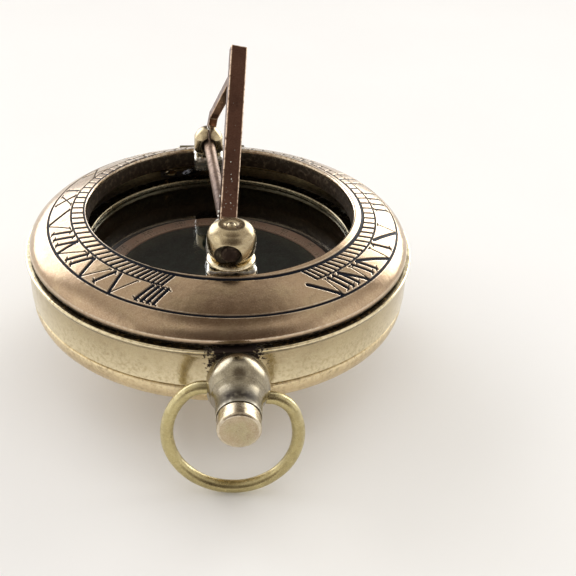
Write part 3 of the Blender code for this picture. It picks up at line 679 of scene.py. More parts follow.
def ball_grime(places, grime_and_shade):
    """Painted dark reflection where the mouth meets the ball, strongest above, and painted shade on
    the case side.
    """
    to_local = np.array(PENDANT_AXIS.inverted())
    local = (np.c_[places, np.ones(len(places))] @ to_local.T)[:, :3] / MM
    x, y, z = local.T
    upper = np.clip(0.30 + 0.80 * y / np.maximum(np.hypot(x, y), 0.1), 0, 1)
    # painted dark reflection round the mouth, weighted to the upper side
    hollow = np.exp(-((z - 4.4) / 1.35) ** 2) * (z > 1.0)
    grime_and_shade = np.maximum(grime_and_shade, 0.95 * hollow * upper ** 1.5)
    return np.maximum(grime_and_shade, 0.8 * np.clip((-1.7 - z) / 0.8, 0, 1))


def pendant_ball():
    """Hollow ball with a flared mouth for the button and a bore each side for the bow."""
    arc = [(BALL_RADIUS * cos(radians(a)), BALL_RADIUS * sin(radians(a)))
           for a in np.linspace(34, -46, 26)]
    mouth = curve_through([(2.47, 4.90), (2.50, 4.30), (2.54, 3.70), (2.63, 3.10),
                           (2.74, 2.62), arc[0]], 0.12)
    inside = [(2.18, -2.56), (1.00, -2.56), (1.00, -2.00), (1.75, -2.00), (1.75, 1.50),
              (2.38, 1.50)]
    profile = [(2.38, 5.40), (2.44, 5.40)] + [tuple(p) for p in mouth] + arc[1:] + inside
    ball = lathe("pendant_ball", profile, "ball", "case", steps=128,
                 rounding=0.05, closed=True, matrix=PENDANT_AXIS, sharp=35, corner_steps=3)
    carve(ball, [cylinder(radius, length, BOW_BORES @ shift(side * away, 0, 0) @ ALONG_X)
                 for radius, length, away in BALL_BORES for side in (-1, 1)], sharp=35)
    # paints a dark reflection round the mouth and shade on the case side
    repaint_grime(ball, ball_grime)


WIRE_RADIUS, WIRE_SIDES = 0.735, 28
LOOP_RADIUS, LOOP_SHIFT, LOOP_DROP = 7.33, 0.48, 5.45
LOOP_STEPS = 180
END_REACH = 3.86                          # x where the loop stops, each side
FLAT_FROM, FLAT_SPAN, FLAT_DROP = 4.0, 2.57, 0.95       # the loop's ends are pressed down
WIRE_END = [(2.80, 0.0), (3.00, 0.0), (3.25, 0.0), (3.46, -0.02)]     # (x, z) in the ball


def bow_path():
    """Centre line of the wire, from the +X end round below to the -X end."""
    start = acos((END_REACH - LOOP_SHIFT) / LOOP_RADIUS)
    stop = pi - acos((END_REACH + LOOP_SHIFT) / LOOP_RADIUS)
    path = [(x, 0.0, z) for x, z in WIRE_END]
    for i in range(LOOP_STEPS + 1):
        a = start - (2 * pi - stop + start) * i / LOOP_STEPS
        height = LOOP_RADIUS * sin(a)
        if height > FLAT_FROM:
            height -= FLAT_DROP * ((height - FLAT_FROM) / FLAT_SPAN) ** 2
        path.append((LOOP_SHIFT + LOOP_RADIUS * cos(a), 0.0, height - LOOP_DROP))
    path += [(-x, 0.0, z) for x, z in reversed(WIRE_END)]
    path = np.array(path, float)
    for _ in range(3):                    # ease the bend where the wire enters the ball
        path[3:6] = 0.25 * path[2:5] + 0.5 * path[3:6] + 0.25 * path[4:7]
        path[-6:-3] = 0.25 * path[-7:-4] + 0.5 * path[-6:-3] + 0.25 * path[-5:-2]
    return path


def bow_ring():
    """Bent wire with two free ends, swept by hand so that its thickness is a little uneven."""
    path = bow_path()
    across = np.array([0.0, 1.0, 0.0])
    along = np.gradient(path, axis=0)
    along /= np.linalg.norm(along, axis=1)[:, None]
    sides = np.cross(along, across)
    sides /= np.linalg.norm(sides, axis=1)[:, None]
    last = len(path) - 1
    verts, faces, worn = [], [], []
    for i, (centre, side) in enumerate(zip(path, sides)):
        t = i / last
        radius = WIRE_RADIUS * (1.0 - 0.012 * sin(23 * t) - 0.008 * sin(57 * t + 1))
        if i in (0, last):
            radius *= 0.9
        for k in range(WIRE_SIDES):
            a = 2 * pi * k / WIRE_SIDES
            verts.append(centre + radius * (cos(a) * side + sin(a) * across))
            worn.append(0.55 * max(0.0, cos(a)) ** 2 + 0.5 * max(0.0, -cos(a)) ** 6)
    for i in range(last):
        here, there = i * WIRE_SIDES, (i + 1) * WIRE_SIDES
        for k in range(WIRE_SIDES):
            q = (k + 1) % WIRE_SIDES
            faces.append([here + k, there + k, there + q, here + q])
    faces.append(list(range(WIRE_SIDES)))
    faces.append([last * WIRE_SIDES + k for k in range(WIRE_SIDES)][::-1])
    build_piece("bow_ring", verts, faces, "bow", "bow", BOW, 60, {"wear": worn})


def push_button():
    """Turned, with a slightly crowned end."""
    profile = [
        (0.0, 7.42), (1.2, 7.42), (1.9, 7.41), (2.14, 7.38), (2.30, 7.25), (2.33, 7.12),
        (2.33, 2.76), (0.96, 2.76), (0.96, 3.60), (0.0, 3.60)]
    lathe("push_button", profile, "button", "button", steps=96, rounding=0.10,
          matrix=PENDANT_AXIS, wear=0.9)


# =====================================================================
# engraving: strokes are (start, end, half width)
# =====================================================================
def groove(distance, half_width, soft):
    """Depth (0..1) of a groove by distance from its centre line, and its bright edge."""
    m = np.clip((half_width + soft - distance) / (2 * soft), 0, 1)
    edge = np.clip(1 - np.abs(distance - half_width - 0.07) / 0.06, 0, 1)
    return m * m * (3 - 2 * m), edge


def stroke_distance(x, y, start, end):
    dx, dy = end[0] - start[0], end[1] - start[1]
    squared = dx * dx + dy * dy + 1e-12
    t = np.clip(((x - start[0]) * dx + (y - start[1]) * dy) / squared, 0, 1)
    return np.hypot(x - start[0] - t * dx, y - start[1] - t * dy)


def stamp(x, y, strokes, soft):
    """Depth and bright edge of a list of strokes over the points x, y."""
    depth = np.zeros_like(x)
    edge = np.zeros_like(x)
    for start, end, half_width in strokes:
        pad = half_width + 0.3
        near = np.nonzero((x > min(start[0], end[0]) - pad) & (x < max(start[0], end[0]) + pad)
                          & (y > min(start[1], end[1]) - pad) & (y < max(start[1], end[1]) + pad))
        distance = stroke_distance(x[near], y[near], start, end)
        stroke_depth, stroke_edge = groove(distance, half_width, soft)
        depth[near] = np.maximum(depth[near], stroke_depth)
        edge[near] = np.maximum(edge[near], stroke_edge)
    return depth, edge


def engraved_ring(piece, face, rest, steps, engrave, depth, finish, body,
                  wear=0.0, grime_and_shade=0.0):
    """A finely divided turned ring with an engraved face.

    face: (radius, height) of the engraved side from inside out; rest: the remainder of
    the closed profile, from the outer edge round to the inner; engrave(x, y) gives ink and
    bright edge; wear and grime amounts (the dial ring's grime is painted shade) are added for each
    profile point."""
    profile = np.vstack([face, rest])
    count, face_count = len(profile), len(face)
    angles = 2 * pi * np.arange(steps) / steps
    x = profile[:, 0][:, None] * np.sin(angles)[None, :]
    y = profile[:, 0][:, None] * np.cos(angles)[None, :]
    z = np.repeat(profile[:, 1][:, None], steps, 1)
    ink, edge = engrave(x[:face_count], y[:face_count])
    slope = np.gradient(profile[:face_count], axis=0)
    normal = np.stack([-slope[:, 1], slope[:, 0]], 1)
    normal /= np.linalg.norm(normal, axis=1)[:, None] + 1e-9
    down = ink * depth
    x[:face_count] -= down * normal[:, 0][:, None] * np.sin(angles)
    y[:face_count] -= down * normal[:, 0][:, None] * np.cos(angles)
    z[:face_count] -= down * normal[:, 1][:, None]
    verts = np.stack([x, y, z], 2).reshape(-1, 3)
    k = np.arange(steps)
    q = (k + 1) % steps
    faces = []
    for i in range(count):
        j = (i + 1) % count
        faces.append(np.stack([i * steps + k, i * steps + q, j * steps + q, j * steps + k], 1))
    faces = np.vstack(faces)

    name = piece + "_looks"
    mesh = bpy.data.meshes.new(name)
    mesh.vertices.add(len(verts))
    mesh.vertices.foreach_set("co", (verts * MM).astype(np.float32).ravel())
    mesh.loops.add(faces.size)
    mesh.loops.foreach_set("vertex_index", faces[:, ::-1].ravel().astype(np.int32))
    mesh.polygons.add(len(faces))
    mesh.polygons.foreach_set("loop_start", np.arange(0, faces.size, 4, dtype=np.int32))
    mesh.update(calc_edges=True)
    for key, on_face, on_profile in (("ink", ink, 0.0), ("wear", edge, wear),
                                     ("grime_and_shade", 0.0, grime_and_shade)):
        values = np.zeros((count, steps), np.float32)
        values[:face_count] = on_face
        values += np.reshape(on_profile, (-1, 1))
        add_attribute(mesh, key, np.clip(values, 0, 1).ravel())
    mesh.validate()
    shade(mesh, 62)
    settle(add_object(name, mesh), name, finish, body, piece)


# =====================================================================
# compass card
# =====================================================================
# strokes (x0, y0, x1, y1) on a grid 1 wide and 2 high
DIGITS = {
    "0": [(0, 0, 1, 0), (1, 0, 1, 2), (1, 2, 0, 2), (0, 2, 0, 0)],
    "1": [(0.5, 0, 0.5, 2), (0.2, 1.6, 0.5, 2)],
    "2": [(0, 2, 1, 2), (1, 2, 1, 1.1), (1, 1.1, 0, 0), (0, 0, 1, 0)],
    "3": [(0, 2, 1, 2), (1, 2, 0.5, 1.1), (0.5, 1.1, 1, 0.6), (1, 0.6, 1, 0), (1, 0, 0, 0)],
    "4": [(0.8, 0, 0.8, 2), (0.8, 2, 0, 0.6), (0, 0.6, 1.1, 0.6)],
    "5": [(1, 2, 0, 2), (0, 2, 0, 1.1), (0, 1.1, 1, 1), (1, 1, 1, 0), (1, 0, 0, 0)],
    "6": [(1, 2, 0, 1), (0, 1, 0, 0), (0, 0, 1, 0), (1, 0, 1, 1), (1, 1, 0, 1)],
    "7": [(0, 2, 1, 2), (1, 2, 0.4, 0)],
    "8": [(0, 0, 1, 0), (1, 0, 1, 2), (1, 2, 0, 2), (0, 2, 0, 0), (0, 1, 1, 1)],
    "9": [(0, 0, 1, 1), (1, 1, 1, 2), (1, 2, 0, 2), (0, 2, 0, 1), (0, 1, 1, 1)],
}
CARD_TICK_START = 14.62
LONG_TICK, SHORT_TICK = (15.22, 0.045), (14.98, 0.03)       # (outer radius, half width)
DIGIT_WIDTH, DIGIT_GAP, DIGIT_UNIT_HEIGHT = 0.44, 0.16, 0.29
DIGIT_BASE, DIGIT_MIDDLE = 15.42, 15.7                      # radii
DIGIT_HALF_STROKE = 0.042


def ring_point(radius, angle):
    """Clockwise angle from +Y."""
    return (radius * sin(angle), radius * cos(angle))


def card_strokes():
    """A tick every 2 degrees, longer every 10, and a number every 20."""
    strokes = []
    for degree in range(0, 360, 2):
        a = radians(degree)
        end, half_width = SHORT_TICK if degree % 10 else LONG_TICK
        strokes.append((ring_point(CARD_TICK_START, a), ring_point(end, a), half_width))
    for degree in range(0, 360, 20):
        text = str(degree or 360)
        for i, digit in enumerate(text):
            offset = (i - (len(text) - 1) / 2) * (DIGIT_WIDTH + DIGIT_GAP)
            for x0, y0, x1, y1 in DIGITS[digit]:
                start, end = [
                    ring_point(DIGIT_BASE + y * DIGIT_UNIT_HEIGHT,
                               radians(degree) + ((x - 0.5) * DIGIT_WIDTH + offset) / DIGIT_MIDDLE)
                    for x, y in ((x0, y0), (x1, y1))]
                strokes.append((start, end, DIGIT_HALF_STROKE))
    return strokes


def card_ring():
    radii = np.arange(14.46, 16.15, 0.06)
    face = np.column_stack([radii, np.full(len(radii), 1.95)])
    rest = [(16.22, 1.945), (16.28, 1.90), (16.30, 1.85), (16.30, 1.66), (16.28, 1.64),
            (14.42, 1.64), (14.40, 1.66), (14.40, 1.92), (14.42, 1.95)]
    engraved_ring("card_ring", face, rest, steps=1500, depth=0.025, finish="card_ring",
                  engrave=lambda x, y: stamp(x, y, card_strokes(), soft=0.03),
                  body="compass_card")


def card_disc():
    profile = [(0.90, 1.60), (4.0, 1.60), (8.0, 1.60), (12.0, 1.60), (15.90, 1.60),
               (15.90, 1.45), (0.90, 1.45)]
    lathe("card_disc", profile, "card", "compass_card", steps=160, rounding=0.03,
          closed=True, wear=0.2)


def card_jewel_cap():
    profile = [
        (0.0, 3.20), (0.30, 3.18), (0.62, 3.10), (0.88, 2.94), (1.03, 2.74), (1.12, 2.40),
        (1.15, 1.96), (1.80, 1.90), (1.80, 1.64), (0.76, 1.64), (0.70, 2.18), (0.0, 2.78)]
    lathe("card_jewel_cap", profile, "bright", "compass_card", steps=64,
          rounding=0.05)


# =====================================================================
# dial ring
# =====================================================================
PATTERN_X = 0.5                           # the stamped pattern is a little off centre
HOUR_FOOT_X = 0.1                         # the hour lines run from the gnomon's foot
TWELVE, HOUR_PITCH = -5.05, 15.2          # degrees clockwise from +Y
HOURS_EACH_SIDE = 8
ENGRAVING_SOFT = 0.035
# radii round the pattern centre
TICK_START, TICK_END, TRACK = 17.98, 19.55, 19.6
NUMERAL_BASE, NUMERAL_TOP = 19.92, 22.05
BAR_BASE, VEE_POINT = 19.95, 22.50
THICK, THIN, SERIF = 0.22, 0.075, 0.065   # half widths of the numerals' strokes
BORDERS = ((17.90, 0.19), (22.55, 0.13))  # (radius, half width) of the circles
# Roman numerals, in degrees from the hour: I the bars, V the foot of the left arm, X the
# middle of the cross
NUMERALS = {
    1: {"I": (0.0,)}, 2: {"I": (1.6, -1.6)}, 3: {"I": (3.0, 0.0, -3.0)},
    4: {"I": (3.6, 0.4, -2.8, -6.0)}, 5: {"V": 7.0}, 6: {"V": 7.0, "I": (-5.4,)},
    7: {"V": 4.2, "I": (-4.4, -7.2)}, 8: {"V": 8.0, "I": (-4.6, -7.7, -10.8)},
    9: {"X": -1.6, "I": (4.2,)}, 10: {"X": 0.0}, 11: {"X": 2.0, "I": (-3.6,)},
    12: {"X": 3.2, "I": (-2.0, -4.8)},
}


def on_ray(degrees, radius):
    """Where the ray at a clockwise angle from the gnomon's foot meets a pattern circle."""
    ux, uy = ring_point(1.0, radians(degrees))
    px, py = HOUR_FOOT_X - PATTERN_X, GNOMON_FOOT_Y
    b = px * ux + py * uy
    c = px * px + py * py - radius * radius
    t = -b + sqrt(b * b - c)
    return (HOUR_FOOT_X + t * ux, GNOMON_FOOT_Y + t * uy)


def tick_track():
    """Five parts to the hour, closed by a thin arc outside."""
    first = TWELVE - HOURS_EACH_SIDE * HOUR_PITCH
    last = TWELVE + HOURS_EACH_SIDE * HOUR_PITCH
    strokes = []
    for i in range(2 * HOURS_EACH_SIDE * 5 + 1):
        degrees = first + i * HOUR_PITCH / 5
        half_width = 0.155 if i % 5 else 0.19
        strokes.append((on_ray(degrees, TICK_START), on_ray(degrees, TICK_END), half_width))
    arc_steps = 240
    arc = [on_ray(first + (last - first) * i / arc_steps, TRACK) for i in range(arc_steps + 1)]
    return strokes + [(p, q, 0.10) for p, q in zip(arc, arc[1:])]


def serif(degrees, radius, reach, half_width):
    return (on_ray(degrees + reach, radius), on_ray(degrees - reach, radius), half_width)


def numeral_bar(degrees):
    base, top = on_ray(degrees, BAR_BASE), on_ray(degrees, NUMERAL_TOP)
    strokes = [(base, top, 0.21)]
    for at, end in ((base, top), (top, base)):
        ux, uy = end[0] - at[0], end[1] - at[1]
        length = hypot(ux, uy)
        nx, ny = -uy / length * 0.44, ux / length * 0.44
        strokes.append(((at[0] - nx, at[1] - ny), (at[0] + nx, at[1] + ny), SERIF))
    return strokes


def numeral_vee(hour, left):
    strokes = []
    for base, top, half_width in ((hour + left, hour + 0.12, THICK),
                                  (hour - 2.6, hour - 0.05, THIN)):
        strokes.append((on_ray(base, NUMERAL_BASE), on_ray(top, VEE_POINT), half_width))
        strokes.append(serif(base, NUMERAL_BASE, 0.7, SERIF))
    return strokes


def numeral_cross(middle):
    strokes = []
    for lean, half_width in ((2.6, THICK), (-2.3, 0.07)):
        strokes.append((on_ray(middle + lean, NUMERAL_BASE), on_ray(middle - lean, NUMERAL_TOP),
                        half_width))
        strokes.append(serif(middle + lean, NUMERAL_BASE, 0.8, 0.06))
        strokes.append(serif(middle - lean, NUMERAL_TOP, 0.8, 0.06))
    return strokes


def dial_strokes():
    strokes = tick_track()
    for k in range(-HOURS_EACH_SIDE, HOURS_EACH_SIDE + 1):
        hour = TWELVE + HOUR_PITCH * k
        numeral = NUMERALS[(k - 1) % 12 + 1]
        if "V" in numeral:
            strokes += numeral_vee(hour, numeral["V"])
        if "X" in numeral:
            strokes += numeral_cross(hour + numeral["X"])
        for offset in numeral.get("I", ()):
            strokes += numeral_bar(hour + offset)
    return strokes


def engrave_dial(x, y):
    depth, edge = stamp(x, y, dial_strokes(), ENGRAVING_SOFT)
    from_centre = np.hypot(x - PATTERN_X, y)
    for radius, half_width in BORDERS:
        ring_depth, ring_edge = groove(np.abs(from_centre - radius), half_width, ENGRAVING_SOFT)
        depth = np.maximum(depth, ring_depth)
        edge = np.maximum(edge, ring_edge)
    return depth, edge * (depth < 0.5)


def dial_ring():
    """Domed ring: engraved top, rolled outer rim, hollow underside, straight inner collar."""
    face = curve_through([(17.45, 12.96), (19.40, 12.24), (21.00, 11.60), (22.40, 10.96),
                          (23.30, 10.42), (24.00, 9.80), (24.42, 9.18), (24.56, 8.72)], 0.058)
    rim = [(24.565, 8.58), (24.54, 8.44), (24.46, 8.32), (24.34, 8.24), (24.20, 8.22),
           (23.98, 8.22), (23.90, 8.26), (23.88, 8.40), (23.82, 8.80)]
    underside = curve_through([(23.62, 9.14), (23.30, 9.46), (22.00, 10.22), (20.2, 10.98),
                               (18.40, 11.66)], 0.5)
    collar = [(18.10, 11.70), (17.95, 11.62), (17.89, 11.45), (17.85, 10.48), (17.82, 10.40),
              (17.20, 10.40), (17.15, 10.45), (17.15, 12.42), (17.155, 12.52), (17.19, 12.68),
              (17.24, 12.80), (17.33, 12.91)]
    rest = np.vstack([rim, underside, collar])
    radius, height = np.vstack([face, rest]).T
    # rubbed at the inner lip and just above the outer rim
    wear = 0.9 * np.exp(-((radius - 17.30) / 0.16) ** 2) * (height > 12.4)
    wear += 0.5 * np.exp(-((height - 9.0) / 0.10) ** 2) * (radius > 24.3)
    # painted shade under the rim, in the underside near it and round the collar
    grime_and_shade = 1.0 * (radius > 23.8) * np.clip((8.84 - height) / 0.25, 0, 1)
    grime_and_shade += 0.7 * (radius < 24.0) * (height < 9.6) * (radius > 22.0)
    grime_and_shade += 0.9 * (radius < 17.95) * (height < 12.50)
    engraved_ring("dial_ring", face, rest, steps=2200, engrave=engrave_dial, depth=0.11,
                  finish="dial", body="lid", wear=wear, grime_and_shade=grime_and_shade)


# =====================================================================
# gnomon posts
# =====================================================================
FOOT_BOTTOM = 11.50


def post_foot(piece, x, half_width, y_range, top, bore):
    """Lump of solder round the foot of a post; bore is the middle of its hole."""
    foot = block((x - half_width, y_range[0], FOOT_BOTTOM), (x + half_width, y_range[1], top))
    edit(foot, ("BEVEL", {"width": 0.42 * MM, "segments": 4}))
    edit(foot, ("REMESH", {"mode": "VOXEL", "voxel_size": 0.14 * MM}),
         ("SMOOTH", {"iterations": 3, "factor": 0.5}))
    roughen(foot, amount=0.13, scale=0.9, seed=3.0)
    roughen(foot, amount=0.05, scale=3.0, seed=8.0)
    boolean(foot, [cylinder(0.86, 4.0, shift(*bore), steps=40)])
    shade(foot.data, 55)
    settle(foot, piece + "_looks", "solder", "lid", piece)


def south_post_washer():
    profile = [(0.86, 13.92), (2.45, 13.92), (2.80, 13.74), (2.88, 13.55), (2.80, 13.36),
               (2.50, 13.23), (0.86, 13.23)]
    lathe("south_post_washer", profile, "bright", "lid", steps=96,
          rounding=0.14, closed=True, matrix=shift(SOUTH_X, -POST_Y, 0), sharp=60)


def post_head(piece, crown, side, shank, x, y, tools):
    """Turned head; side is drawn through as a smooth curve."""
    profile = crown + [tuple(p) for p in curve_through(side, 0.12)] + shank
    head = lathe(piece, profile, "bright", "lid", steps=112, rounding=0.05,
                 matrix=shift(x, y, 0), sharp=40, wear=0.5, grime_and_shade=0.25, corner_steps=3)
    carve(head, tools, sharp=40)
    return head


def rod_bore(y):
    """Bore for the gnomon rod through a post head."""
    return cylinder(0.81, 8.0, FOLD @ shift(0, y, 0) @ ALONG_Y)


def south_post_head():
    """Domed, with a wide recess in its south face round the rod."""
    recess = cylinder(1.55, 3.0, FOLD @ shift(-0.30, -17.7, -0.05) @ ALONG_Y)
    side = [(0.50, 17.98), (0.62, 17.97), (0.95, 18.06), (1.35, 18.07), (1.70, 18.00),
            (2.34, 17.66), (2.74, 17.05), (2.88, 16.35), (2.88, 15.40), (2.76, 14.75),
            (2.48, 14.25), (2.14, 13.96)]
    head = post_head("south_post_head", [(0.0, 18.20), (0.34, 18.17), (0.42, 18.04)], side,
                     [(0.80, 13.96), (0.80, 11.80), (0.0, 11.80)], SOUTH_X, -POST_Y,
                     [rod_bore(-POST_Y), recess])
    # painted shade inside the recess round the rod
    darken(head, lambda x, y, z: (y < -15.6) & (np.hypot(x + 0.205, z - 15.25) < 1.57))


def north_post_head():
    """Rounded top with a slot along the rod, and a recess in its south face."""
    recess = cylinder(1.15, 3.0, FOLD @ shift(0, POST_Y - 2.7, 0) @ ALONG_Y)
    slot = block((-0.20, POST_Y - 3.0, 0.3), (0.20, POST_Y + 3.0, 3.5), FOLD)
    side = [(0.30, 17.44), (0.70, 17.38), (1.05, 17.25), (1.30, 17.08), (1.56, 16.82),
            (1.78, 16.50), (1.93, 16.20), (2.00, 15.90), (2.00, 14.30), (1.84, 13.95),
            (1.60, 13.83)]
    head = post_head("north_post_head", [(0.0, 17.45)], side,
                     [(0.80, 13.83), (0.80, 12.00), (0.0, 12.00)], NORTH_X, POST_Y,
                     [rod_bore(POST_Y), recess, slot])
    # painted shade inside the recess and the top slot
    darken(head, lambda x, y, z: (np.hypot(x - NORTH_X, z - 15.3) < 1.16)
           | ((np.abs(x - NORTH_X) < 0.23) & (z > 16.2) & (z < 17.1)))


# =====================================================================
# gnomon: outlines are (s, h), s along the rod towards +Y and h up from its axis
# =====================================================================
SLOPE_ANGLE = radians(45.0)
RISE = tan(SLOPE_ANGLE)
STYLE_DEPTH, STYLE_WIDTH = 1.35, 2.02
STYLE_HALF_UPRIGHT = STYLE_DEPTH / 2 / cos(SLOPE_ANGLE)     # half depth measured upright
# from the style's centre line square out to its upper face
TO_FACE_S = -sin(SLOPE_ANGLE) * STYLE_DEPTH / 2
TO_FACE_H = cos(SLOPE_ANGLE) * STYLE_DEPTH / 2
BAR_FOOT_H = 0.80                         # the bars stand on the rod at this height
STYLE_HEEL_S, STYLE_APEX_S = -11.25, 4.90
LEG_WIDTH, LEG_DEPTH = 1.20, 1.20
LEG_INNER_S, LEG_OUTER_S, LEG_TOP_S = 16.80, 18.20, 4.00
KNEE_H = 2.90
LEG_X = 0.5


def gnomon_rod():
    profile = [
        (0.0, 16.90), (0.40, 16.89), (0.66, 16.84), (0.96, 16.68), (1.06, 16.48), (1.06, 16.24),
        (0.75, 16.24), (0.75, -18.20), (0.60, -18.35), (0.0, -18.35)]
    rod = lathe("gnomon_rod", profile, "gnomon", "gnomon", steps=48,
                rounding=0.08, matrix=GNOMON @ ALONG_Y)
    # painted shade on the rod's end inside the south post's recess
    darken(rod, lambda x, y, z: y < -16.0, amount=0.9)


def filed_bar(name, replaced, outline, width, matrix, edge_width, seed):
    """Flat bar cut to an outline, its edges broken and its faces slightly uneven."""
    n = len(outline)
    verts = [(x, s, h) for x in (-width / 2, width / 2) for s, h in outline]
    faces = [list(range(n)), list(range(n, 2 * n))[::-1]]
    faces += [[i, n + i, n + (i + 1) % n, (i + 1) % n] for i in range(n)]
    bar = solid(verts, faces)
    edit(bar, ("BEVEL", {"width": edge_width * MM, "segments": 3, "limit_method": "ANGLE",
                         "angle_limit": radians(20)}))
    # divide the large faces finely enough to be roughened
    bm = bmesh.new()
    bm.from_mesh(bar.data)
    bm.normal_update()
    large = [f for f in bm.faces if f.calc_area() > 0.4e-6 and len(f.verts) > 3
             and min(e.calc_length() for e in f.edges) > 0.0006]
    bmesh.ops.inset_individual(bm, faces=large, thickness=0.05 * MM)
    for _ in range(5):
        long = [e for e in bm.edges if e.calc_length() > 0.0012]
        if not long:
            break
        bmesh.ops.subdivide_edges(bm, edges=long, cuts=1, use_grid_fill=True)
    bmesh.ops.triangulate(bm, faces=[f for f in bm.faces if len(f.verts) > 4])
    bm.to_mesh(bar.data)
    bm.free()
    mark_edges(bar, amount=1.0, full_angle=22.0)
    roughen(bar, amount=0.018, scale=0.8, seed=seed)
    bar.data.transform(matrix)
    shade(bar.data, 50)
    settle(bar, name, "gnomon", "gnomon", replaced)


def gnomon_style():
    """The sloping bar."""
    apex_h = (STYLE_APEX_S - GNOMON_FOOT_Y) * RISE
    outline = [
        (STYLE_HEEL_S, BAR_FOOT_H),
        (GNOMON_FOOT_Y + (BAR_FOOT_H + STYLE_HALF_UPRIGHT) / RISE, BAR_FOOT_H),
        (STYLE_APEX_S - TO_FACE_S, apex_h - TO_FACE_H),
        (STYLE_APEX_S + TO_FACE_S, apex_h + TO_FACE_H),
        (STYLE_HEEL_S, (STYLE_HEEL_S - GNOMON_FOOT_Y) * RISE + STYLE_HALF_UPRIGHT)]
    filed_bar("gnomon_style_looks", "gnomon_style_bar", outline, STYLE_WIDTH, GNOMON,
              edge_width=0.14, seed=2.0)


def gnomon_back_leg():
    """Short upright at the north end, bent over to lean on the style's underside."""
    knee_out = Vector((LEG_OUTER_S, KNEE_H))
    top = Vector((LEG_TOP_S - TO_FACE_S, (LEG_TOP_S - GNOMON_FOOT_Y) * RISE - TO_FACE_H))
    lean = (top - knee_out).normalized()
    knee_in = Vector((LEG_INNER_S, knee_out.y + lean.y / lean.x * (LEG_INNER_S - knee_out.x)
                      - LEG_DEPTH / abs(lean.x)))

    def meet_style(p):
        """Follows the leg's lean from p to just short of the style's underside."""
        gap = p.x * RISE - GNOMON_FOOT_Y * RISE - STYLE_HALF_UPRIGHT - 0.05 - p.y
        return tuple(p + lean * (gap / (lean.y - RISE * lean.x)))

    outline = [(LEG_OUTER_S, BAR_FOOT_H), tuple(knee_out), meet_style(knee_out),
               meet_style(knee_in), tuple(knee_in), (LEG_INNER_S, BAR_FOOT_H)]
    filed_bar("gnomon_back_leg_looks", "gnomon_back_leg", outline, LEG_WIDTH,
              GNOMON @ shift(LEG_X, 0, 0), edge_width=0.11, seed=5.0)


# beads on the style's upper face: (x, s, radius, stretch in s and h)
FACE_BEADS = [
    (-0.2, -6.3, 0.085, 1.0), (-0.05, -7.4, 0.075, 1.0), (0.0, -7.8, 0.085, 1.7),
    (0.1, -8.0, 0.06, 1.5), (-0.55, -8.6, 0.045, 1.0), (-0.5, -9.0, 0.04, 1.0),
    (0.0, -9.2, 0.055, 1.0), (0.1, -9.9, 0.085, 1.2), (-0.6, -9.7, 0.04, 1.0),
    (-0.45, -10.0, 0.06, 1.0), (0.35, -9.4, 0.035, 1.0), (-0.3, -8.9, 0.035, 1.0),
    (0.2, -5.2, 0.035, 1.0), (0.1, -3.0, 0.035, 1.0), (-0.3, -1.0, 0.03, 1.0),
    (-0.62, -10.3, 0.05, 1.0), (0.2, -10.4, 0.05, 1.0), (0.5, -10.1, 0.04, 1.0)]
FACE_HEIGHT = 0.955                       # of the beads above the style's centre line
# other lumps: (x, s, h), radii, noise seed
SOLDER = {
    "rod_solder_beads": [
        ((-0.60, -7.7, 0.42), (0.15, 0.17, 0.15), 1.3),
        ((-0.72, -8.4, 0.36), (0.13, 0.20, 0.14), 2.2),
        ((-0.60, -9.0, 0.50), (0.24, 0.30, 0.24), 3.1),
        ((-0.80, -9.7, 0.40), (0.27, 0.34, 0.28), 4.7),
        ((-0.62, -10.3, 0.70), (0.34, 0.36, 0.34), 5.9)],
    "style_foot_solder": [
        ((-1.10, -10.55, 0.55), (0.30, 0.50, 0.42), 1.0),
        ((1.12, -10.35, 0.50), (0.34, 0.75, 0.42), 4.0),
        ((0.0, -9.75, 0.72), (0.80, 0.55, 0.36), 7.0),
        ((-1.02, -9.70, 1.60), (0.14, 0.20, 0.24), 9.0),
        ((-1.03, -8.60, 3.10), (0.10, 0.14, 0.18), 11.0),
        ((1.02, -9.1, 2.2), (0.12, 0.16, 0.22), 12.0)],
    "leg_joint_solder": [
        ((0.5, 4.25, 14.6), (0.60, 0.50, 0.62), 3.0),
        ((0.35, 17.2, 0.86), (0.62, 0.72, 0.28), 6.0)],
}


def solder_lumps(name, lumps):
    """Beads and runs of solder left beside a joint."""
    bm = bmesh.new()
    for (x, y, z), (rx, ry, rz), seed in lumps:
        for v in bmesh.ops.create_icosphere(bm, subdivisions=4, radius=1.0)["verts"]:
            swell = (1.0 + 0.28 * noise.noise(v.co * 1.7 + Vector((seed, 0, seed)))
                     + 0.10 * noise.noise(v.co * 4.0 + Vector((0, seed, 0))))
            v.co = Vector((x + v.co.x * rx * swell, y + v.co.y * ry * swell,
                           z + v.co.z * rz * swell)) * MM
    mesh = bpy.data.meshes.new(name)
    bm.to_mesh(mesh)
    bm.free()
    mesh.transform(GNOMON)
    mesh.shade_smooth()
    settle(add_object(name, mesh), name, "solder", "gnomon")


def gnomon_solder():
    solder_lumps("style_face_beads", [
        ((x, s, s - GNOMON_FOOT_Y + FACE_HEIGHT), (r, r * stretch, r * stretch), s + 20.0)
        for x, s, r, stretch in FACE_BEADS])
    for name, lumps in SOLDER.items():
        solder_lumps(name, lumps)


# =====================================================================
# frame pieces that keep their shape and get a worked metal finish
# =====================================================================
KEPT_PIECES = {
    "lid_lift_spring": "steel", "latch_leaf_spring": "steel", "latch_slide": "steel",
    "button_return_spring": "steel", "button_circlip": "steel", "card_magnet": "steel",
    "compass_pivot": "steel", "latch_guide": "plate", "button_stem": "bright",
    "lift_spring_rivet": "bright",
}


def finish_kept_pieces():
    for name, finish in KEPT_PIECES.items():
        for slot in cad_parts[name].material_slots:
            slot.material = FINISH[finish]


# =====================================================================
# floor, light, camera (lengths in metres)
# =====================================================================
FLOOR_HALF, FLOOR_GAP = 1.6, 0.0002


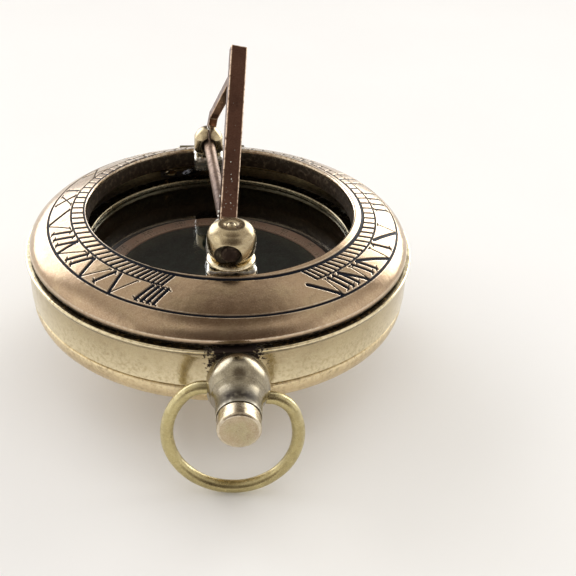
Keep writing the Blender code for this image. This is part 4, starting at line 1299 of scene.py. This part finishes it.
def stage_floor():
    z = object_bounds()[0].z - FLOOR_GAP
    s = FLOOR_HALF
    mesh = bpy.data.meshes.new("floor")
    mesh.from_pydata([(-s, -s, z), (s, -s, z), (s, s, z), (-s, s, z)], [], [(0, 1, 2, 3)])
    floor = add_object("floor", mesh)
    t = Surface("pale_floor")
    color = t.mix(t.noise(scale=0.02, detail=2.0), (0.86, 0.86, 0.855), (0.90, 0.90, 0.895))
    mesh.materials.append(t.finish({
        "Base Color": color, "Roughness": 0.85, "Specular IOR Level": 0.15}))


AMBIENT = (0.32, 0.27, 0.235)
CAMERA_BACKDROP = (0.93, 0.93, 0.93)
# patches of the surroundings laid over one another:
# (direction, angle where it fades out, angle where it is full, strength, colour)
SKY_PATCHES = [
    ((0, 0, 1), 80, 15, 1.0, (0.80, 0.76, 0.70)),
    ((0.05, -0.84, 0.54), 38, 16, 0.78, (0.060, 0.040, 0.030)),
    ((0.05, -0.10, 0.99), 30, 10, 0.86, (0.090, 0.058, 0.036)),
    ((0.05, 1.0, 0.02), 40, 16, 0.9, (0.085, 0.060, 0.055)),
    ((0.12, 0.86, 0.52), 27, 10, 0.9, (0.085, 0.062, 0.050)),
    ((-0.56, 0.74, 0.30), 32, 12, 1.0, (3.7, 3.75, 3.9)),
    ((0.66, 0.72, 0.18), 33, 12, 1.0, (5.0, 5.0, 4.9)),
    ((-1.0, -0.10, 0.12), 42, 16, 1.0, (1.3, 1.27, 1.2)),
    ((1.0, -0.22, 0.10), 40, 16, 1.0, (1.05, 1.02, 0.97)),
]


def studio_world():
    """Soft surroundings for light and reflections; the camera itself sees a plain backdrop."""
    world = bpy.data.worlds.new("studio")
    scene.world = world
    t = Tree(world)
    output = t.node("OutputWorld", {})
    ray = t.node("TexCoord", {}).outputs["Generated"]
    color = AMBIENT
    for direction, fade, full, strength, patch in SKY_PATCHES:
        toward = t.node("VectorMath", {0: ray, 1: Vector(direction).normalized()},
                        operation="DOT_PRODUCT").outputs["Value"]
        cover = t.ramp(toward, start=cos(radians(fade)), end=cos(radians(full)), high=strength)
        color = t.mix(cover, color, patch)
    surroundings = t.node("Background", {0: color})
    plain = t.node("Background", {0: CAMERA_BACKDROP})
    choice = t.node("MixShader", {
        0: t.node("LightPath", {}).outputs["Is Camera Ray"],
        1: surroundings.outputs[0], 2: plain.outputs[0]})
    t.put(output.inputs[0], choice.outputs[0])


# (name, place, diameter, watts)
SOFTBOXES = [
    ("overhead", (0.05, -0.05, 0.55), 0.5, 0.55),
    ("left_box", (-0.42, 0.10, 0.30), 0.22, 0.35),
    ("right_box", (0.45, 0.05, 0.28), 0.18, 0.25),
    ("front_fill", (-0.10, -0.50, 0.28), 0.10, 0.20),
]


def softbox(name, place, diameter, watts):
    """A disk light aimed at the origin and unseen in reflections."""
    light = bpy.data.lights.new(name, "AREA")
    light.shape = "DISK"
    light.size = diameter
    light.energy = watts
    light.color = (1.0, 0.98, 0.95)
    obj = add_object(name, light)
    obj.location = place
    obj.rotation_mode = "QUATERNION"
    obj.rotation_quaternion = Vector(place).to_track_quat("Z", "Y")
    obj.visible_glossy = False


CAMERA_AZIMUTH, CAMERA_ELEVATION, CAMERA_ROLL = radians(-8.45), radians(33.13), radians(3.25)
CAMERA_TARGET = Vector((7.47, -12.69, 8.0)) * MM
CAMERA_DISTANCE = 0.110


def add_camera():
    """Looks from the south and above, a little from -X."""
    back = Vector((sin(CAMERA_AZIMUTH) * cos(CAMERA_ELEVATION),
                   -cos(CAMERA_AZIMUTH) * cos(CAMERA_ELEVATION), sin(CAMERA_ELEVATION)))
    place = CAMERA_TARGET + back * CAMERA_DISTANCE
    right = (-back).cross(Vector((0, 0, 1))).normalized()
    up = right.cross(-back)
    rolled_right = cos(CAMERA_ROLL) * right + sin(CAMERA_ROLL) * up
    rolled_up = -sin(CAMERA_ROLL) * right + cos(CAMERA_ROLL) * up
    data = bpy.data.cameras.new("camera")
    data.lens = 56.25
    data.sensor_width = 36.0
    data.clip_start = 0.002
    data.clip_end = 20.0
    camera = add_object("camera", data)
    matrix = Matrix.Identity(4)
    for i in range(3):
        matrix[i] = (rolled_right[i], rolled_up[i], back[i], place[i])
    camera.matrix_world = matrix
    scene.camera = camera


# =====================================================================
# build
# =====================================================================
case_back()
case_band()
rim_cover_plate()
compass_housing()
case_hinge_leaf()
hinge_pin()
lid_hinge_leaf()
lid_catch_lug()
pendant_neck()
pendant_ball()
bow_ring()
push_button()
card_ring()
card_disc()
card_jewel_cap()
dial_ring()
post_foot("south_post_foot", SOUTH_X, half_width=2.9, y_range=(-16.65, -12.70), top=13.08,
          bore=(SOUTH_X, -POST_Y, 12.4))
post_foot("north_post_foot", NORTH_X, half_width=2.05, y_range=(12.40, 16.65), top=13.66,
          bore=(NORTH_X, POST_Y, 12.6))
south_post_washer()
south_post_head()
north_post_head()
gnomon_rod()
gnomon_style()
gnomon_back_leg()
gnomon_solder()
finish_kept_pieces()

stage_floor()
studio_world()
for row in SOFTBOXES:
    softbox(*row)
add_camera()
scene.view_settings.view_transform = "Standard"
